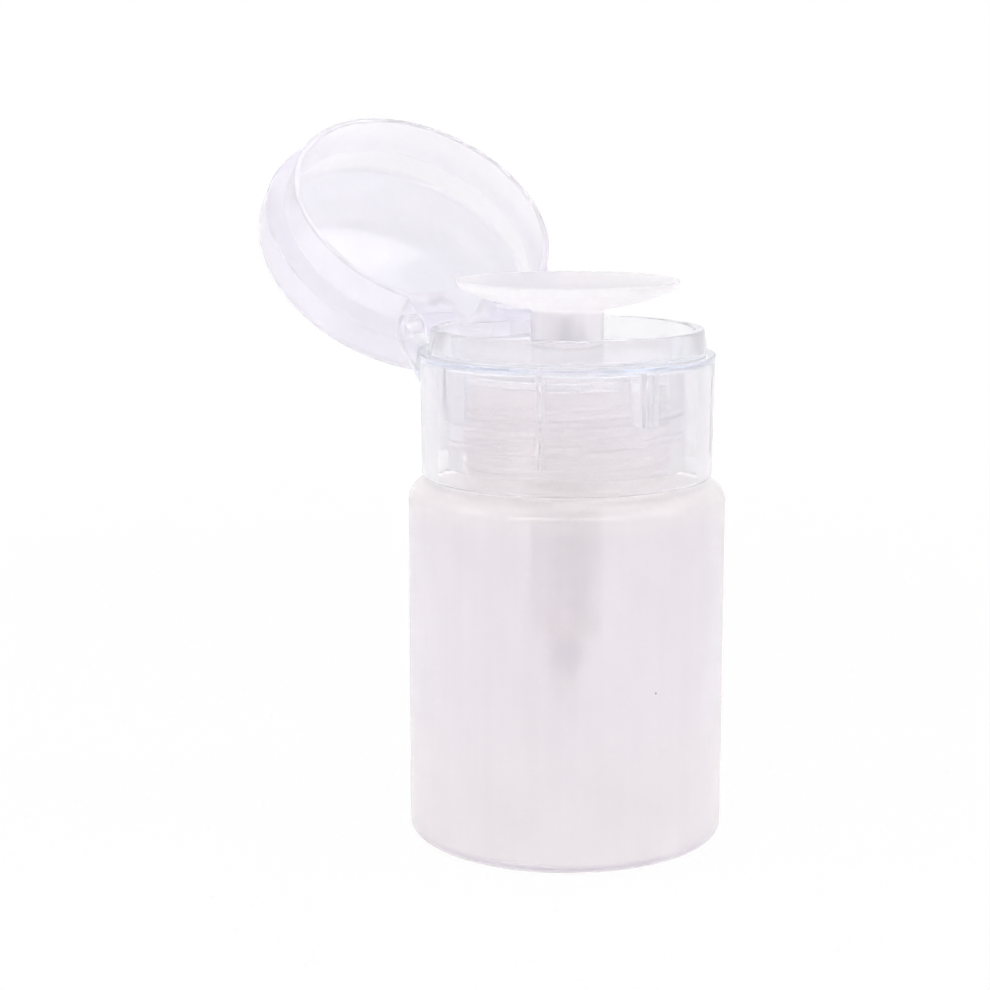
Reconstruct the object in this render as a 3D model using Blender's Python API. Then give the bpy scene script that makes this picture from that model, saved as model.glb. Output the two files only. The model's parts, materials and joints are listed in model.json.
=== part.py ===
"""Push-down pump bottle with a flip lid, standing with its lid open.

Metres, +Z up. The origin is the centre of the base, the lid's hinge is at +Y and the front at -Y.
Every piece is its own object. The lid is drawn closed and then swung open about its hinge.
"""
import math

import bmesh
import bpy
from mathutils import Matrix, Vector

# Fits and finish
SEAT_GAP = 0.0002
RUNNING_GAP = 0.0001
PIN_GAP = 0.00007
OVERRUN = 0.0010
LARGE_STEPS = 48
SMALL_STEPS = 24
CORNER_STEPS = 4
BROAD_CORNER_STEPS = 6
INNER_CORNER_STEPS = 3
SHARP_ANGLE = math.radians(32)

# Bottle
BODY_RADIUS = 0.0210
BODY_WALL = 0.0010
SHOULDER_START = 0.0452
SHOULDER_RADIUS = 0.0030
SHOULDER_RISE = 0.0003
BASE_CORNER_RADIUS = 0.0018
BASE_THICKNESS = 0.0012
BASE_RECESS_DEPTH = 0.0004
BASE_PAD_RADIUS = 0.0060
BASE_RING_WIDTH = 0.0026
NECK_RADIUS = 0.0130
NECK_WALL = 0.0012
NECK_HEIGHT = 0.0133
NECK_FILLET = 0.0006
NECK_EDGE = 0.0003

# Screw thread between neck and collar
THREAD_PITCH = 0.003175
THREAD_DEPTH = 0.0009
THREAD_ROOT_WIDTH = 0.0013
THREAD_CREST_WIDTH = 0.0005
THREAD_SINK = 0.0003
THREAD_CLEARANCE = 0.0004
THREAD_LEAD_SHARE = 0.2
NECK_THREAD_DROP = 0.0014
NECK_THREAD_FOOT = 0.00555
COLLAR_EXTRA_TURNS = 0.5
THREAD_OFFSET_SHARE = 0.5
THREAD_PHASE_SHARE = 0.37

# Stack on the neck
GASKET_THICKNESS = 0.0008
FLANGE_THICKNESS = 0.0010
FLANGE_OVERHANG = 0.0004

# Collar
DECK_THICKNESS = 0.0010
SKIRT_WALL = 0.0013
SKIRT_LIFT = 0.0016
COLLAR_SPACE = 0.0027
COLLAR_WALL = 0.0011
COLLAR_TAPER = 0.00025
COLLAR_CLEARANCE = 0.0004
COLLAR_CHAMFER = 0.0008
LEDGE_WIDTH = 0.0011
LEDGE_LIP = 0.0001
LEDGE_LIP_HEIGHT = 0.0005
RIM_HEIGHT = 0.0033
RIM_TAPER = 0.00035
RIM_WALL = 0.0012
RIM_EDGE = 0.0003
RIB_COUNT = 8
RIB_THICKNESS = 0.0007
RIB_LIFT = 0.0017

# Hinge
HINGE_SET_OUT = 0.00236
HINGE_RISE = 0.00148
OPEN_ANGLE = math.radians(138)
PIN_RADIUS = 0.0010
PIN_END_INSET = 0.0002
EAR_RADIUS = 0.0023
EAR_THICKNESS = 0.0020
EAR_GAP = 0.0003
EAR_LID_GAP = 0.00028
EAR_FOOT_DEPTH = 0.0081
EAR_SINK = 0.00078
EAR_STEPS = 9
ARM_OUTER = 0.0099
ARM_INNER = 0.0032
ARM_WALL_GAP = 0.0006
BARREL_RADIUS = 0.0023
BARREL_END_ANGLE = 320
BARREL_STEPS = 5
RIM_CHORD_DEPTH = 0.0030
RIM_CHORD_WALL = 0.0011
STOP_REACH = 0.00305
STOP_DEPTH = 0.00075
STOP_GAP = 0.00015
HEEL_LOW = 0.0008
HEEL_HIGH = 0.0012
BEAM_DEPTH = 0.0030

# Flip lid
LID_FIT = 0.00025
LID_TUBE_WALL = 0.00095
LID_STEP_WIDTH = 0.0023
LID_SHELL_WALL = 0.0013
LID_HEADROOM = 0.00192
LID_PLATE_THICKNESS = 0.0011
LID_TUBE_HEIGHT = 0.0046
LID_STEP_HEIGHT = 0.0013
LID_CORNER_RADIUS = 0.0030
LID_INNER_CORNER = 0.0018
LID_STEP_INNER_RISE = 0.0009
LID_SLOT_HEIGHT = 0.0043

# Outlet cap and ball
CAP_RADIUS = 0.0033
CAP_THICKNESS = 0.0006
CAP_DOME = 0.0003
CAP_GAP = 0.0003
CAP_FIN_THICKNESS = 0.0008
CAP_PLUG_LENGTH = 0.0012
OUTLET_BALL_RADIUS = 0.0015
OUTLET_BALL_GAP = 0.0004
OUTLET_LIFT = 0.0007
BALL_SEGMENTS = 16
BALL_RINGS = 10

# Stem and piston
STEM_RADIUS = 0.0025
STEM_BORE_RADIUS = 0.0014
STEM_SEAT_RADIUS = 0.0010
STEM_SEAT_LENGTH = 0.0008
STEM_BEAD = 0.0007
STEM_BEAD_HEIGHT = 0.0006
STEM_FOOT_LENGTH = 0.0027
CORE_HEAD_GAP = 0.0005
CORE_HEAD_HEIGHT = 0.0008
CORE_BORE_RADIUS = 0.0007
CORE_SHANK_LENGTH = 0.0050
CORE_SPIGOT_RADIUS = 0.0020
CORE_SPIGOT_LENGTH = 0.0015
PISTON_WIDTH = 0.0014
PISTON_LIP_WALL = 0.0004
PISTON_GROOVE_DEPTH = 0.0006

# Housing, bush and dip tube
CUP_WALL = 0.0010
CUP_HUB_GAP = 0.0008
CUP_DEPTH = 0.0077
CUP_TAPER = 0.0010
BARREL_WALL = 0.0008
BARREL_LENGTH = 0.0286
FLOOR_THICKNESS = 0.0010
CHAMBER_WALL = 0.0007
CHAMBER_LENGTH = 0.0052
SEAT_HOLE_RADIUS = 0.0009
SEAT_LAND = 0.0006
NIPPLE_WALL = 0.0006
NIPPLE_TAPER = 0.0002
NIPPLE_LENGTH = 0.0031
BUSH_BASE_THICKNESS = 0.0008
BUSH_TUBE_WALL = 0.0008
SEAL_THICKNESS = 0.0010
SUCTION_BALL_RADIUS = 0.0016
SUCTION_BALL_GAP = 0.0003
SUCTION_LIFT = 0.0007
CAGE_WALL = 0.0005
CAGE_RING_THICKNESS = 0.0009
TUBE_RADIUS = 0.0012
TUBE_BORE_RADIUS = 0.0008
TUBE_FOOT_GAP = 0.0010

# Dish and hub
DISH_SPHERE_RADIUS = 0.0345
DISH_CLEARANCE = 0.00205
DISH_PRESSED_LIFT = 0.00081
DISH_WALL = 0.0009
DISH_LIP = 0.0005
DISH_SWEEP_STEPS = 7
HUB_WALL = 0.0011
HUB_FIT = 0.0003
HUB_FILLET = 0.0006
HUB_PRESSED_GAP = 0.0005
DECK_HOLE_GAP = 0.0004
STROKE = 0.0055
PRESSED_GAP = 0.0004

# Return spring
SPRING_WIRE_RADIUS = 0.0003
SPRING_GAP = 0.00035
SPRING_TURNS = 9
SPRING_POINTS_PER_TURN = 10

# Radii worked out from the sizes above, from the neck and the stem outwards
NECK_BORE_RADIUS = NECK_RADIUS - NECK_WALL
FLANGE_RADIUS = NECK_RADIUS + FLANGE_OVERHANG
THREAD_CREST_RADIUS = NECK_RADIUS + THREAD_DEPTH
SKIRT_BORE_RADIUS = THREAD_CREST_RADIUS + THREAD_CLEARANCE
SKIRT_RADIUS = SKIRT_BORE_RADIUS + SKIRT_WALL
COLLAR_TOP_RADIUS = SKIRT_RADIUS + COLLAR_SPACE + COLLAR_WALL
COLLAR_BOTTOM_RADIUS = COLLAR_TOP_RADIUS - COLLAR_TAPER
RIM_RADIUS = COLLAR_TOP_RADIUS - LEDGE_WIDTH
RIM_TOP_RADIUS = RIM_RADIUS - RIM_TAPER
RIM_INNER_RADIUS = RIM_TOP_RADIUS - RIM_WALL
LID_TUBE_INNER_RADIUS = RIM_RADIUS + LID_FIT
LID_LIP_RADIUS = LID_TUBE_INNER_RADIUS + LID_TUBE_WALL
LID_SHELL_RADIUS = LID_LIP_RADIUS + LID_STEP_WIDTH
DISH_RADIUS = RIM_INNER_RADIUS - DISH_CLEARANCE
DISH_FLOOR_RADIUS = CAP_RADIUS + CAP_GAP
STEM_TOP_BORE_RADIUS = OUTLET_BALL_RADIUS + OUTLET_BALL_GAP
STEM_BEAD_RADIUS = STEM_RADIUS + STEM_BEAD
CORE_SHANK_RADIUS = STEM_BORE_RADIUS - RUNNING_GAP
SPRING_RADIUS = CORE_SPIGOT_RADIUS + SPRING_GAP + SPRING_WIRE_RADIUS
BARREL_BORE_RADIUS = STEM_RADIUS + PISTON_WIDTH
CORE_HEAD_RADIUS = BARREL_BORE_RADIUS - CORE_HEAD_GAP
BUSH_TUBE_RADIUS = STEM_RADIUS + RUNNING_GAP + BUSH_TUBE_WALL
HUB_BORE_RADIUS = BUSH_TUBE_RADIUS + HUB_FIT
HUB_RADIUS = HUB_BORE_RADIUS + HUB_WALL
DECK_HOLE_RADIUS = HUB_RADIUS + DECK_HOLE_GAP
CUP_BORE_RADIUS = HUB_RADIUS + CUP_HUB_GAP
CHAMBER_BORE_RADIUS = SUCTION_BALL_RADIUS + SUCTION_BALL_GAP
NIPPLE_RADIUS = TUBE_RADIUS + RUNNING_GAP + NIPPLE_WALL

# Heights worked out from the sizes above, from the base up
SHOULDER_TOP = SHOULDER_START + SHOULDER_RADIUS
NECK_TOP = SHOULDER_TOP + NECK_HEIGHT
NECK_THREAD_BOTTOM = SHOULDER_TOP + NECK_THREAD_FOOT
NECK_THREAD_TURNS = (NECK_HEIGHT - NECK_THREAD_DROP - NECK_THREAD_FOOT) / THREAD_PITCH
COLLAR_BOTTOM = SHOULDER_TOP + COLLAR_CLEARANCE
SKIRT_BOTTOM = COLLAR_BOTTOM + SKIRT_LIFT
GASKET_BOTTOM = NECK_TOP + SEAT_GAP
FLANGE_BOTTOM = GASKET_BOTTOM + GASKET_THICKNESS + SEAT_GAP
FLANGE_TOP = FLANGE_BOTTOM + FLANGE_THICKNESS
DECK_BOTTOM = FLANGE_TOP + SEAT_GAP
LEDGE = DECK_BOTTOM + DECK_THICKNESS
RIM_TOP = LEDGE + RIM_HEIGHT
LID_LIP = LEDGE + SEAT_GAP
CUP_FLOOR = FLANGE_TOP - CUP_DEPTH
BUSH_BOTTOM = CUP_FLOOR + SEAT_GAP
BUSH_BASE_TOP = BUSH_BOTTOM + BUSH_BASE_THICKNESS
SEAL_TOP = CUP_FLOOR - SEAT_GAP
SEAL_BOTTOM = SEAL_TOP - SEAL_THICKNESS
BEAD_TOP = SEAL_BOTTOM - SEAT_GAP
BEAD_BOTTOM = BEAD_TOP - STEM_BEAD_HEIGHT
STEM_BOTTOM = BEAD_BOTTOM - STEM_FOOT_LENGTH
CORE_HEAD_TOP = STEM_BOTTOM - RUNNING_GAP
CORE_HEAD_BOTTOM = CORE_HEAD_TOP - CORE_HEAD_HEIGHT
BARREL_BOTTOM = CUP_FLOOR - BARREL_LENGTH
BARREL_FLOOR = BARREL_BOTTOM + FLOOR_THICKNESS
CAGE_BOTTOM = BARREL_FLOOR + SEAT_GAP
SPRING_SEAT_TOP = CAGE_BOTTOM + CAGE_RING_THICKNESS
CHAMBER_BOTTOM = BARREL_BOTTOM - CHAMBER_LENGTH
SUCTION_SEAT = CHAMBER_BOTTOM + SEAT_LAND
SUCTION_BALL_CENTRE = SUCTION_SEAT - SEAT_HOLE_RADIUS + (SUCTION_BALL_RADIUS + RUNNING_GAP) * math.sqrt(2)
CAGE_SKIRT_BOTTOM = SUCTION_BALL_CENTRE + SUCTION_BALL_RADIUS + SUCTION_LIFT
DISH_BASE = LEDGE + STROKE + DISH_PRESSED_LIFT
DISH_CENTRE = DISH_BASE + DISH_SPHERE_RADIUS
DISH_TOP = DISH_CENTRE - math.sqrt(DISH_SPHERE_RADIUS**2 - DISH_RADIUS**2)
DISH_FLOOR = DISH_CENTRE - math.sqrt(DISH_SPHERE_RADIUS**2 - DISH_FLOOR_RADIUS**2)
HUB_CEILING = DISH_BASE - DISH_WALL
HUB_BOTTOM = BUSH_BASE_TOP + STROKE + HUB_PRESSED_GAP
BUSH_TOP = HUB_CEILING - STROKE - PRESSED_GAP
STEM_TOP = DISH_FLOOR - SEAT_GAP
CAP_PLUG_BOTTOM = DISH_FLOOR - CAP_PLUG_LENGTH
OUTLET_BALL_CENTRE = CAP_PLUG_BOTTOM - OUTLET_LIFT - OUTLET_BALL_RADIUS
STEM_SEAT = OUTLET_BALL_CENTRE - (OUTLET_BALL_RADIUS + RUNNING_GAP) * math.sqrt(2) + STEM_SEAT_RADIUS
LID_STEP = LID_LIP + LID_TUBE_HEIGHT
LID_SHELL_BOTTOM = LID_STEP + LID_STEP_HEIGHT
LID_INNER_TOP = DISH_TOP + LID_HEADROOM
LID_TOP = LID_INNER_TOP + LID_PLATE_THICKNESS

# Places of the hinge, at the back of the collar
HINGE = Vector((0, COLLAR_TOP_RADIUS + HINGE_SET_OUT, LEDGE + HINGE_RISE))
RIM_CHORD_PLACE = RIM_RADIUS - RIM_CHORD_DEPTH
ARM_WALL_PLACE = RIM_CHORD_PLACE + ARM_WALL_GAP
EAR_INNER = ARM_OUTER + EAR_GAP
EAR_OUTER = EAR_INNER + EAR_THICKNESS
EAR_ROOT = math.sqrt(COLLAR_TOP_RADIUS**2 - EAR_OUTER**2) - EAR_SINK
EAR_SET_BACK = math.sqrt(LID_LIP_RADIUS**2 - EAR_INNER**2) + EAR_LID_GAP
BEAM_ROOT = math.sqrt(COLLAR_TOP_RADIUS**2 - EAR_INNER**2)


def clear_scene():
    for item in list(bpy.data.objects):
        bpy.data.objects.remove(item, do_unlink=True)


def finish(name, colour, roughness, alpha=1.0, metallic=0.0):
    surface = bpy.data.materials.new(name)
    surface.use_nodes = True
    shader = surface.node_tree.nodes["Principled BSDF"]
    shader.inputs["Base Color"].default_value = (*colour, 1.0)
    shader.inputs["Roughness"].default_value = roughness
    shader.inputs["Metallic"].default_value = metallic
    shader.inputs["Alpha"].default_value = alpha
    surface.diffuse_color = (*colour, alpha)
    return surface


def add_object(name, shape, surface, origin=Vector()):
    """Turn a bmesh drawn in world places into an object whose origin is at the given point."""
    bmesh.ops.recalc_face_normals(shape, faces=shape.faces)
    bmesh.ops.translate(shape, verts=shape.verts, vec=-origin)
    mesh = bpy.data.meshes.new(name)
    shape.to_mesh(mesh)
    shape.free()
    mesh.shade_smooth()
    mesh.set_sharp_from_angle(angle=SHARP_ANGLE)
    if surface is not None:
        mesh.materials.append(surface)
    item = bpy.data.objects.new(name, mesh)
    item.location = origin
    bpy.context.collection.objects.link(item)
    return item


def turned(name, outline, surface=None, steps=SMALL_STEPS, origin=Vector()):
    """Spin an outline of (radius, height) points about Z; ends on the axis stay open there."""
    shape = bmesh.new()
    points = [shape.verts.new((radius, 0, height)) for radius, height in outline]
    edges = [shape.edges.new(pair) for pair in zip(points, points[1:])]
    if outline[0][0] > 0 or outline[-1][0] > 0:
        edges.append(shape.edges.new((points[-1], points[0])))
    bmesh.ops.spin(shape, geom=points + edges, cent=(0, 0, 0), axis=(0, 0, 1), angle=math.tau,
                   steps=steps, use_merge=True)
    bmesh.ops.remove_doubles(shape, verts=shape.verts, dist=SEAT_GAP / steps)
    return add_object(name, shape, surface, origin)


def prism(name, outline, low, high):
    """Extrude an outline of (y, z) points along X."""
    shape = bmesh.new()
    face = shape.faces.new([shape.verts.new((low, y, z)) for y, z in outline])
    grown = bmesh.ops.extrude_face_region(shape, geom=[face])
    moved = [item for item in grown["geom"] if isinstance(item, bmesh.types.BMVert)]
    bmesh.ops.translate(shape, verts=moved, vec=(high - low, 0, 0))
    return add_object(name, shape, None)


def pin_along_x(name, radius, low, high, centre):
    shape = bmesh.new()
    turn = Matrix.Rotation(math.pi / 2, 4, "Y")
    middle = Vector(((low + high) / 2, centre.y, centre.z))
    bmesh.ops.create_cone(shape, cap_ends=True, segments=SMALL_STEPS, radius1=radius, radius2=radius,
                          depth=high - low, matrix=Matrix.Translation(middle) @ turn)
    return add_object(name, shape, None)


def block(name, low, high):
    shape = bmesh.new()
    size = Vector(high) - Vector(low)
    middle = (Vector(high) + Vector(low)) / 2
    bmesh.ops.create_cube(shape, size=1, matrix=Matrix.Translation(middle) @ Matrix.Diagonal((*size, 1)))
    return add_object(name, shape, None)


def arc(centre, radius, start, end, steps):
    """Points on an arc, from the start angle to the end angle, in degrees."""
    angles = [math.radians(start + (end - start) * step / steps) for step in range(steps + 1)]
    return [(centre[0] + radius * math.cos(angle), centre[1] + radius * math.sin(angle)) for angle in angles]


def helical_ridge(name, root_radius, crest_radius, bottom, turns):
    """A screw ridge that starts and ends inside the wall it is joined to."""
    outward = 1 if crest_radius > root_radius else -1
    buried_radius = root_radius - outward * THREAD_SINK
    hidden_radius = root_radius - outward * THREAD_SINK / 2
    count = round(turns * LARGE_STEPS)
    lead = THREAD_LEAD_SHARE * LARGE_STEPS
    shape = bmesh.new()
    rings = []
    for index in range(count + 1):
        angle = math.tau * (index + THREAD_PHASE_SHARE) / LARGE_STEPS
        height = bottom + THREAD_PITCH * index / LARGE_STEPS
        grown_share = min(1, index / lead, (count - index) / lead)
        tip_radius = hidden_radius + (crest_radius - hidden_radius) * grown_share
        corners = ((buried_radius, -THREAD_ROOT_WIDTH / 2), (tip_radius, -THREAD_CREST_WIDTH / 2),
                   (tip_radius, THREAD_CREST_WIDTH / 2), (buried_radius, THREAD_ROOT_WIDTH / 2))
        rings.append([shape.verts.new((radius * math.cos(angle), radius * math.sin(angle), height + rise))
                      for radius, rise in corners])
    for ring, following in zip(rings, rings[1:]):
        for corner in range(len(ring)):
            side = (corner + 1) % len(ring)
            shape.faces.new((ring[corner], ring[side], following[side], following[corner]))
    shape.faces.new(rings[0])
    shape.faces.new(rings[-1])
    return add_object(name, shape, None)


def combine(body, tool, operation):
    """Join a tool to a body or cut it away, and drop the tool."""
    change = body.modifiers.new("change", "BOOLEAN")
    change.operation = operation
    change.object = tool
    bpy.context.view_layer.update()
    result = bpy.data.meshes.new_from_object(body.evaluated_get(bpy.context.evaluated_depsgraph_get()))
    body.modifiers.remove(change)
    body.data = result
    result.name = body.name
    result.shade_smooth()
    result.set_sharp_from_angle(angle=SHARP_ANGLE)
    bpy.data.objects.remove(tool, do_unlink=True)


def opened(reach, rise):
    """Where a point of the closed lid, given from the hinge axis, lies in (y, z) once it is open."""
    cosine = math.cos(OPEN_ANGLE)
    sine = math.sin(OPEN_ANGLE)
    return (HINGE.y + reach * cosine + rise * sine, HINGE.z - reach * sine + rise * cosine)


def frame(name, place, parent=None):
    """An empty on a joint's axis, which the moving pieces hang from."""
    guide = bpy.data.objects.new(name, None)
    guide.parent = parent
    base = parent.matrix_world.translation if parent else Vector()
    guide.location = place - base
    bpy.context.collection.objects.link(guide)
    bpy.context.view_layer.update()
    return guide


def carry(item, guide):
    item.location -= guide.matrix_world.translation
    item.parent = guide


def make_bottle(surface):
    inner = BODY_RADIUS - BODY_WALL
    shoulder_centre = (BODY_RADIUS - SHOULDER_RADIUS, SHOULDER_START)
    ring_inner = BODY_RADIUS - BASE_CORNER_RADIUS - BASE_RING_WIDTH
    neck_root = SHOULDER_TOP + SHOULDER_RISE
    outline = [(0, 0), (BASE_PAD_RADIUS, 0), (BASE_PAD_RADIUS + BASE_RECESS_DEPTH, BASE_RECESS_DEPTH),
               (ring_inner - BASE_RECESS_DEPTH, BASE_RECESS_DEPTH), (ring_inner, 0)]
    outline += arc((BODY_RADIUS - BASE_CORNER_RADIUS, BASE_CORNER_RADIUS), BASE_CORNER_RADIUS, -90, 0,
                   CORNER_STEPS)
    outline += arc(shoulder_centre, SHOULDER_RADIUS, 0, 90, BROAD_CORNER_STEPS)
    outline += [(NECK_RADIUS + NECK_FILLET, neck_root), (NECK_RADIUS, neck_root + NECK_FILLET),
                (NECK_RADIUS, NECK_TOP - NECK_EDGE), (NECK_RADIUS - NECK_EDGE, NECK_TOP),
                (NECK_BORE_RADIUS, NECK_TOP), (NECK_BORE_RADIUS, neck_root - BODY_WALL + NECK_FILLET),
                (NECK_BORE_RADIUS + NECK_FILLET, neck_root - BODY_WALL)]
    outline += arc(shoulder_centre, SHOULDER_RADIUS - BODY_WALL, 90, 0, CORNER_STEPS)
    outline += arc((inner - BASE_CORNER_RADIUS, BASE_THICKNESS + BASE_CORNER_RADIUS), BASE_CORNER_RADIUS,
                   0, -90, INNER_CORNER_STEPS)
    outline += [(0, BASE_THICKNESS)]
    bottle = turned("bottle", outline, surface, LARGE_STEPS)
    combine(bottle, helical_ridge("neck_thread", NECK_RADIUS, THREAD_CREST_RADIUS, NECK_THREAD_BOTTOM,
                                  NECK_THREAD_TURNS), "UNION")


def collar_outline():
    chamfer_top = COLLAR_BOTTOM + COLLAR_CHAMFER
    return [(COLLAR_BOTTOM_RADIUS - COLLAR_CHAMFER, COLLAR_BOTTOM), (COLLAR_BOTTOM_RADIUS, chamfer_top),
            (COLLAR_TOP_RADIUS, LEDGE - LEDGE_LIP_HEIGHT), (COLLAR_TOP_RADIUS + LEDGE_LIP, LEDGE - LEDGE_LIP),
            (COLLAR_TOP_RADIUS, LEDGE), (RIM_RADIUS, LEDGE), (RIM_TOP_RADIUS, RIM_TOP - RIM_EDGE),
            (RIM_TOP_RADIUS - RIM_EDGE, RIM_TOP), (RIM_INNER_RADIUS + RIM_EDGE, RIM_TOP),
            (RIM_INNER_RADIUS, RIM_TOP - RIM_EDGE), (RIM_INNER_RADIUS, LEDGE), (DECK_HOLE_RADIUS, LEDGE),
            (DECK_HOLE_RADIUS, DECK_BOTTOM), (SKIRT_BORE_RADIUS, DECK_BOTTOM),
            (SKIRT_BORE_RADIUS, SKIRT_BOTTOM), (SKIRT_RADIUS, SKIRT_BOTTOM), (SKIRT_RADIUS, DECK_BOTTOM),
            (COLLAR_TOP_RADIUS - COLLAR_WALL, DECK_BOTTOM),
            (COLLAR_BOTTOM_RADIUS - COLLAR_WALL, chamfer_top)]


def collar_ribs():
    """Thin walls that tie the threaded skirt to the outer shell, one of them opposite the hinge."""
    shape = bmesh.new()
    reach = COLLAR_SPACE + SKIRT_WALL
    bottom = SKIRT_BOTTOM + RIB_LIFT
    height = DECK_BOTTOM + DECK_THICKNESS / 2 - bottom
    middle = Vector((SKIRT_RADIUS - SKIRT_WALL / 2 + reach / 2, 0, bottom + height / 2))
    size = Matrix.Diagonal((reach, RIB_THICKNESS, height, 1))
    for index in range(RIB_COUNT):
        turn = Matrix.Rotation(math.tau * index / RIB_COUNT, 4, "Z")
        bmesh.ops.create_cube(shape, size=1, matrix=turn @ Matrix.Translation(middle) @ size)
    return add_object("ribs", shape, None)


def ear_outline():
    """Side view of a hinge ear: round about the pin, and straight down to the collar's wall."""
    foot = (EAR_ROOT, LEDGE - EAR_FOOT_DEPTH)
    rise = HINGE.z - foot[1]
    run = HINGE.y - foot[0]
    tangent = math.degrees(math.atan2(rise, run) - math.asin(EAR_RADIUS / math.hypot(rise, run)))
    outline = [foot] + arc((HINGE.y, HINGE.z), EAR_RADIUS, tangent - 90, 180, EAR_STEPS)
    outline += [(EAR_SET_BACK, LEDGE + EAR_GAP), (EAR_SET_BACK, LEDGE - SEAT_GAP)]
    return outline + [(EAR_ROOT, LEDGE - SEAT_GAP)]


def cut_rim_for_lid(collar):
    """Flatten the rim where the lid's hinge arms come down, and close it with a straight wall."""
    chord_end = math.sqrt(RIM_TOP_RADIUS**2 - RIM_CHORD_PLACE**2)
    combine(collar, block("rim_cut", (-RIM_RADIUS, RIM_CHORD_PLACE, LEDGE),
                          (RIM_RADIUS, HINGE.y, RIM_TOP + OVERRUN)), "DIFFERENCE")
    combine(collar, block("rim_chord", (-chord_end, RIM_CHORD_PLACE - RIM_CHORD_WALL, LEDGE - SEAT_GAP),
                          (chord_end, RIM_CHORD_PLACE, RIM_TOP - RIM_EDGE)), "UNION")


def add_hinge_bracket(collar):
    """Two ears with pin bores, and a beam between them whose top edge stops the open lid."""
    stop_low = opened(STOP_REACH, -STOP_DEPTH)
    stop_high = opened(STOP_REACH, 0)
    beam_bottom = stop_high[1] - BEAM_DEPTH
    beam = [(BEAM_ROOT, LEDGE - SEAT_GAP), stop_low, stop_high, (stop_high[0], beam_bottom),
            (BEAM_ROOT, beam_bottom - stop_high[0] + BEAM_ROOT)]
    combine(collar, prism("hinge_beam", beam, -EAR_INNER - SEAT_GAP, EAR_INNER + SEAT_GAP), "UNION")
    far = HINGE.y + EAR_RADIUS
    above = LEDGE + OVERRUN
    stop_cut = [stop_low, stop_high, (far, stop_high[1]), (far, above), (stop_low[0], above)]
    combine(collar, prism("stop_cut", stop_cut, -EAR_INNER, EAR_INNER), "DIFFERENCE")
    for side in (-1, 1):
        faces = sorted((side * EAR_INNER, side * EAR_OUTER))
        combine(collar, prism("ear", ear_outline(), *faces), "UNION")
        ends = (faces[0] - OVERRUN, faces[1] + OVERRUN)
        combine(collar, pin_along_x("ear_bore", PIN_RADIUS + PIN_GAP, *ends, HINGE), "DIFFERENCE")


def make_collar(surface, guide):
    collar = turned("screw_collar", collar_outline(), surface, LARGE_STEPS, guide.matrix_world.translation)
    combine(collar, collar_ribs(), "UNION")
    cut_rim_for_lid(collar)
    add_hinge_bracket(collar)
    thread_bottom = NECK_THREAD_BOTTOM - THREAD_OFFSET_SHARE * THREAD_PITCH
    combine(collar, helical_ridge("collar_thread", SKIRT_BORE_RADIUS, SKIRT_BORE_RADIUS - THREAD_DEPTH,
                                  thread_bottom, NECK_THREAD_TURNS + COLLAR_EXTRA_TURNS), "UNION")
    carry(collar, guide)


def lid_outline():
    inner_radius = LID_SHELL_RADIUS - LID_SHELL_WALL
    outer_corner = (LID_SHELL_RADIUS - LID_CORNER_RADIUS, LID_TOP - LID_CORNER_RADIUS)
    inner_corner = (inner_radius - LID_INNER_CORNER, LID_INNER_TOP - LID_INNER_CORNER)
    outline = [(LID_SHELL_RADIUS, LID_SHELL_BOTTOM)]
    outline += arc(outer_corner, LID_CORNER_RADIUS, 0, 90, BROAD_CORNER_STEPS)
    outline += [(0, LID_TOP)]
    inside = [(0, LID_INNER_TOP)]
    inside += arc(inner_corner, LID_INNER_CORNER, 90, 0, INNER_CORNER_STEPS)
    inside += [(inner_radius, LID_SHELL_BOTTOM + LID_STEP_INNER_RISE),
               (LID_TUBE_INNER_RADIUS, LID_SHELL_BOTTOM), (LID_TUBE_INNER_RADIUS, LID_LIP),
               (LID_LIP_RADIUS, LID_LIP), (LID_LIP_RADIUS, LID_STEP)]
    return inside + outline


def arm_outline():
    """Side view of a hinge arm on the closed lid: inner wall, barrel, and a heel that meets the stop."""
    shelf = LID_SHELL_BOTTOM + LID_STEP_INNER_RISE / 2
    heel = HINGE.y + STOP_REACH - STOP_GAP
    under_angle = 180 + math.degrees(math.asin((HINGE.z - LID_LIP) / BARREL_RADIUS))
    outline = [(ARM_WALL_PLACE, LID_LIP)]
    outline += arc((HINGE.y, HINGE.z), BARREL_RADIUS, under_angle, BARREL_END_ANGLE, BARREL_STEPS)
    return outline + [(heel, HINGE.z - HEEL_LOW), (heel, HINGE.z + HEEL_HIGH),
                      (LID_SHELL_RADIUS - LID_SHELL_WALL / 2, shelf), (ARM_WALL_PLACE, shelf)]


def make_lid(surface, guide):
    lid = turned("flip_lid", lid_outline(), surface, LARGE_STEPS, HINGE)
    pin_end = EAR_OUTER - PIN_END_INSET
    for side in (-1, 1):
        faces = sorted((side * ARM_INNER, side * ARM_OUTER))
        combine(lid, prism("arm", arm_outline(), *faces), "UNION")
        ends = sorted((side * (ARM_OUTER - OVERRUN), side * pin_end))
        combine(lid, pin_along_x("trunnion", PIN_RADIUS, *ends, HINGE), "UNION")
    combine(lid, block("slot", (-ARM_INNER, ARM_WALL_PLACE - LID_SHELL_WALL, LID_LIP - OVERRUN),
                       (ARM_INNER, LID_SHELL_RADIUS + OVERRUN, LID_LIP + LID_SLOT_HEIGHT)), "DIFFERENCE")
    carry(lid, guide)


def dish_sweep(depth, start_radius, end_radius):
    """Points on the dish's round sweep, a given depth behind its upper face."""
    points = []
    for step in range(DISH_SWEEP_STEPS + 1):
        radius = start_radius + (end_radius - start_radius) * step / DISH_SWEEP_STEPS
        points.append((radius, DISH_CENTRE - math.sqrt((DISH_SPHERE_RADIUS + depth)**2 - radius**2)))
    return points


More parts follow.
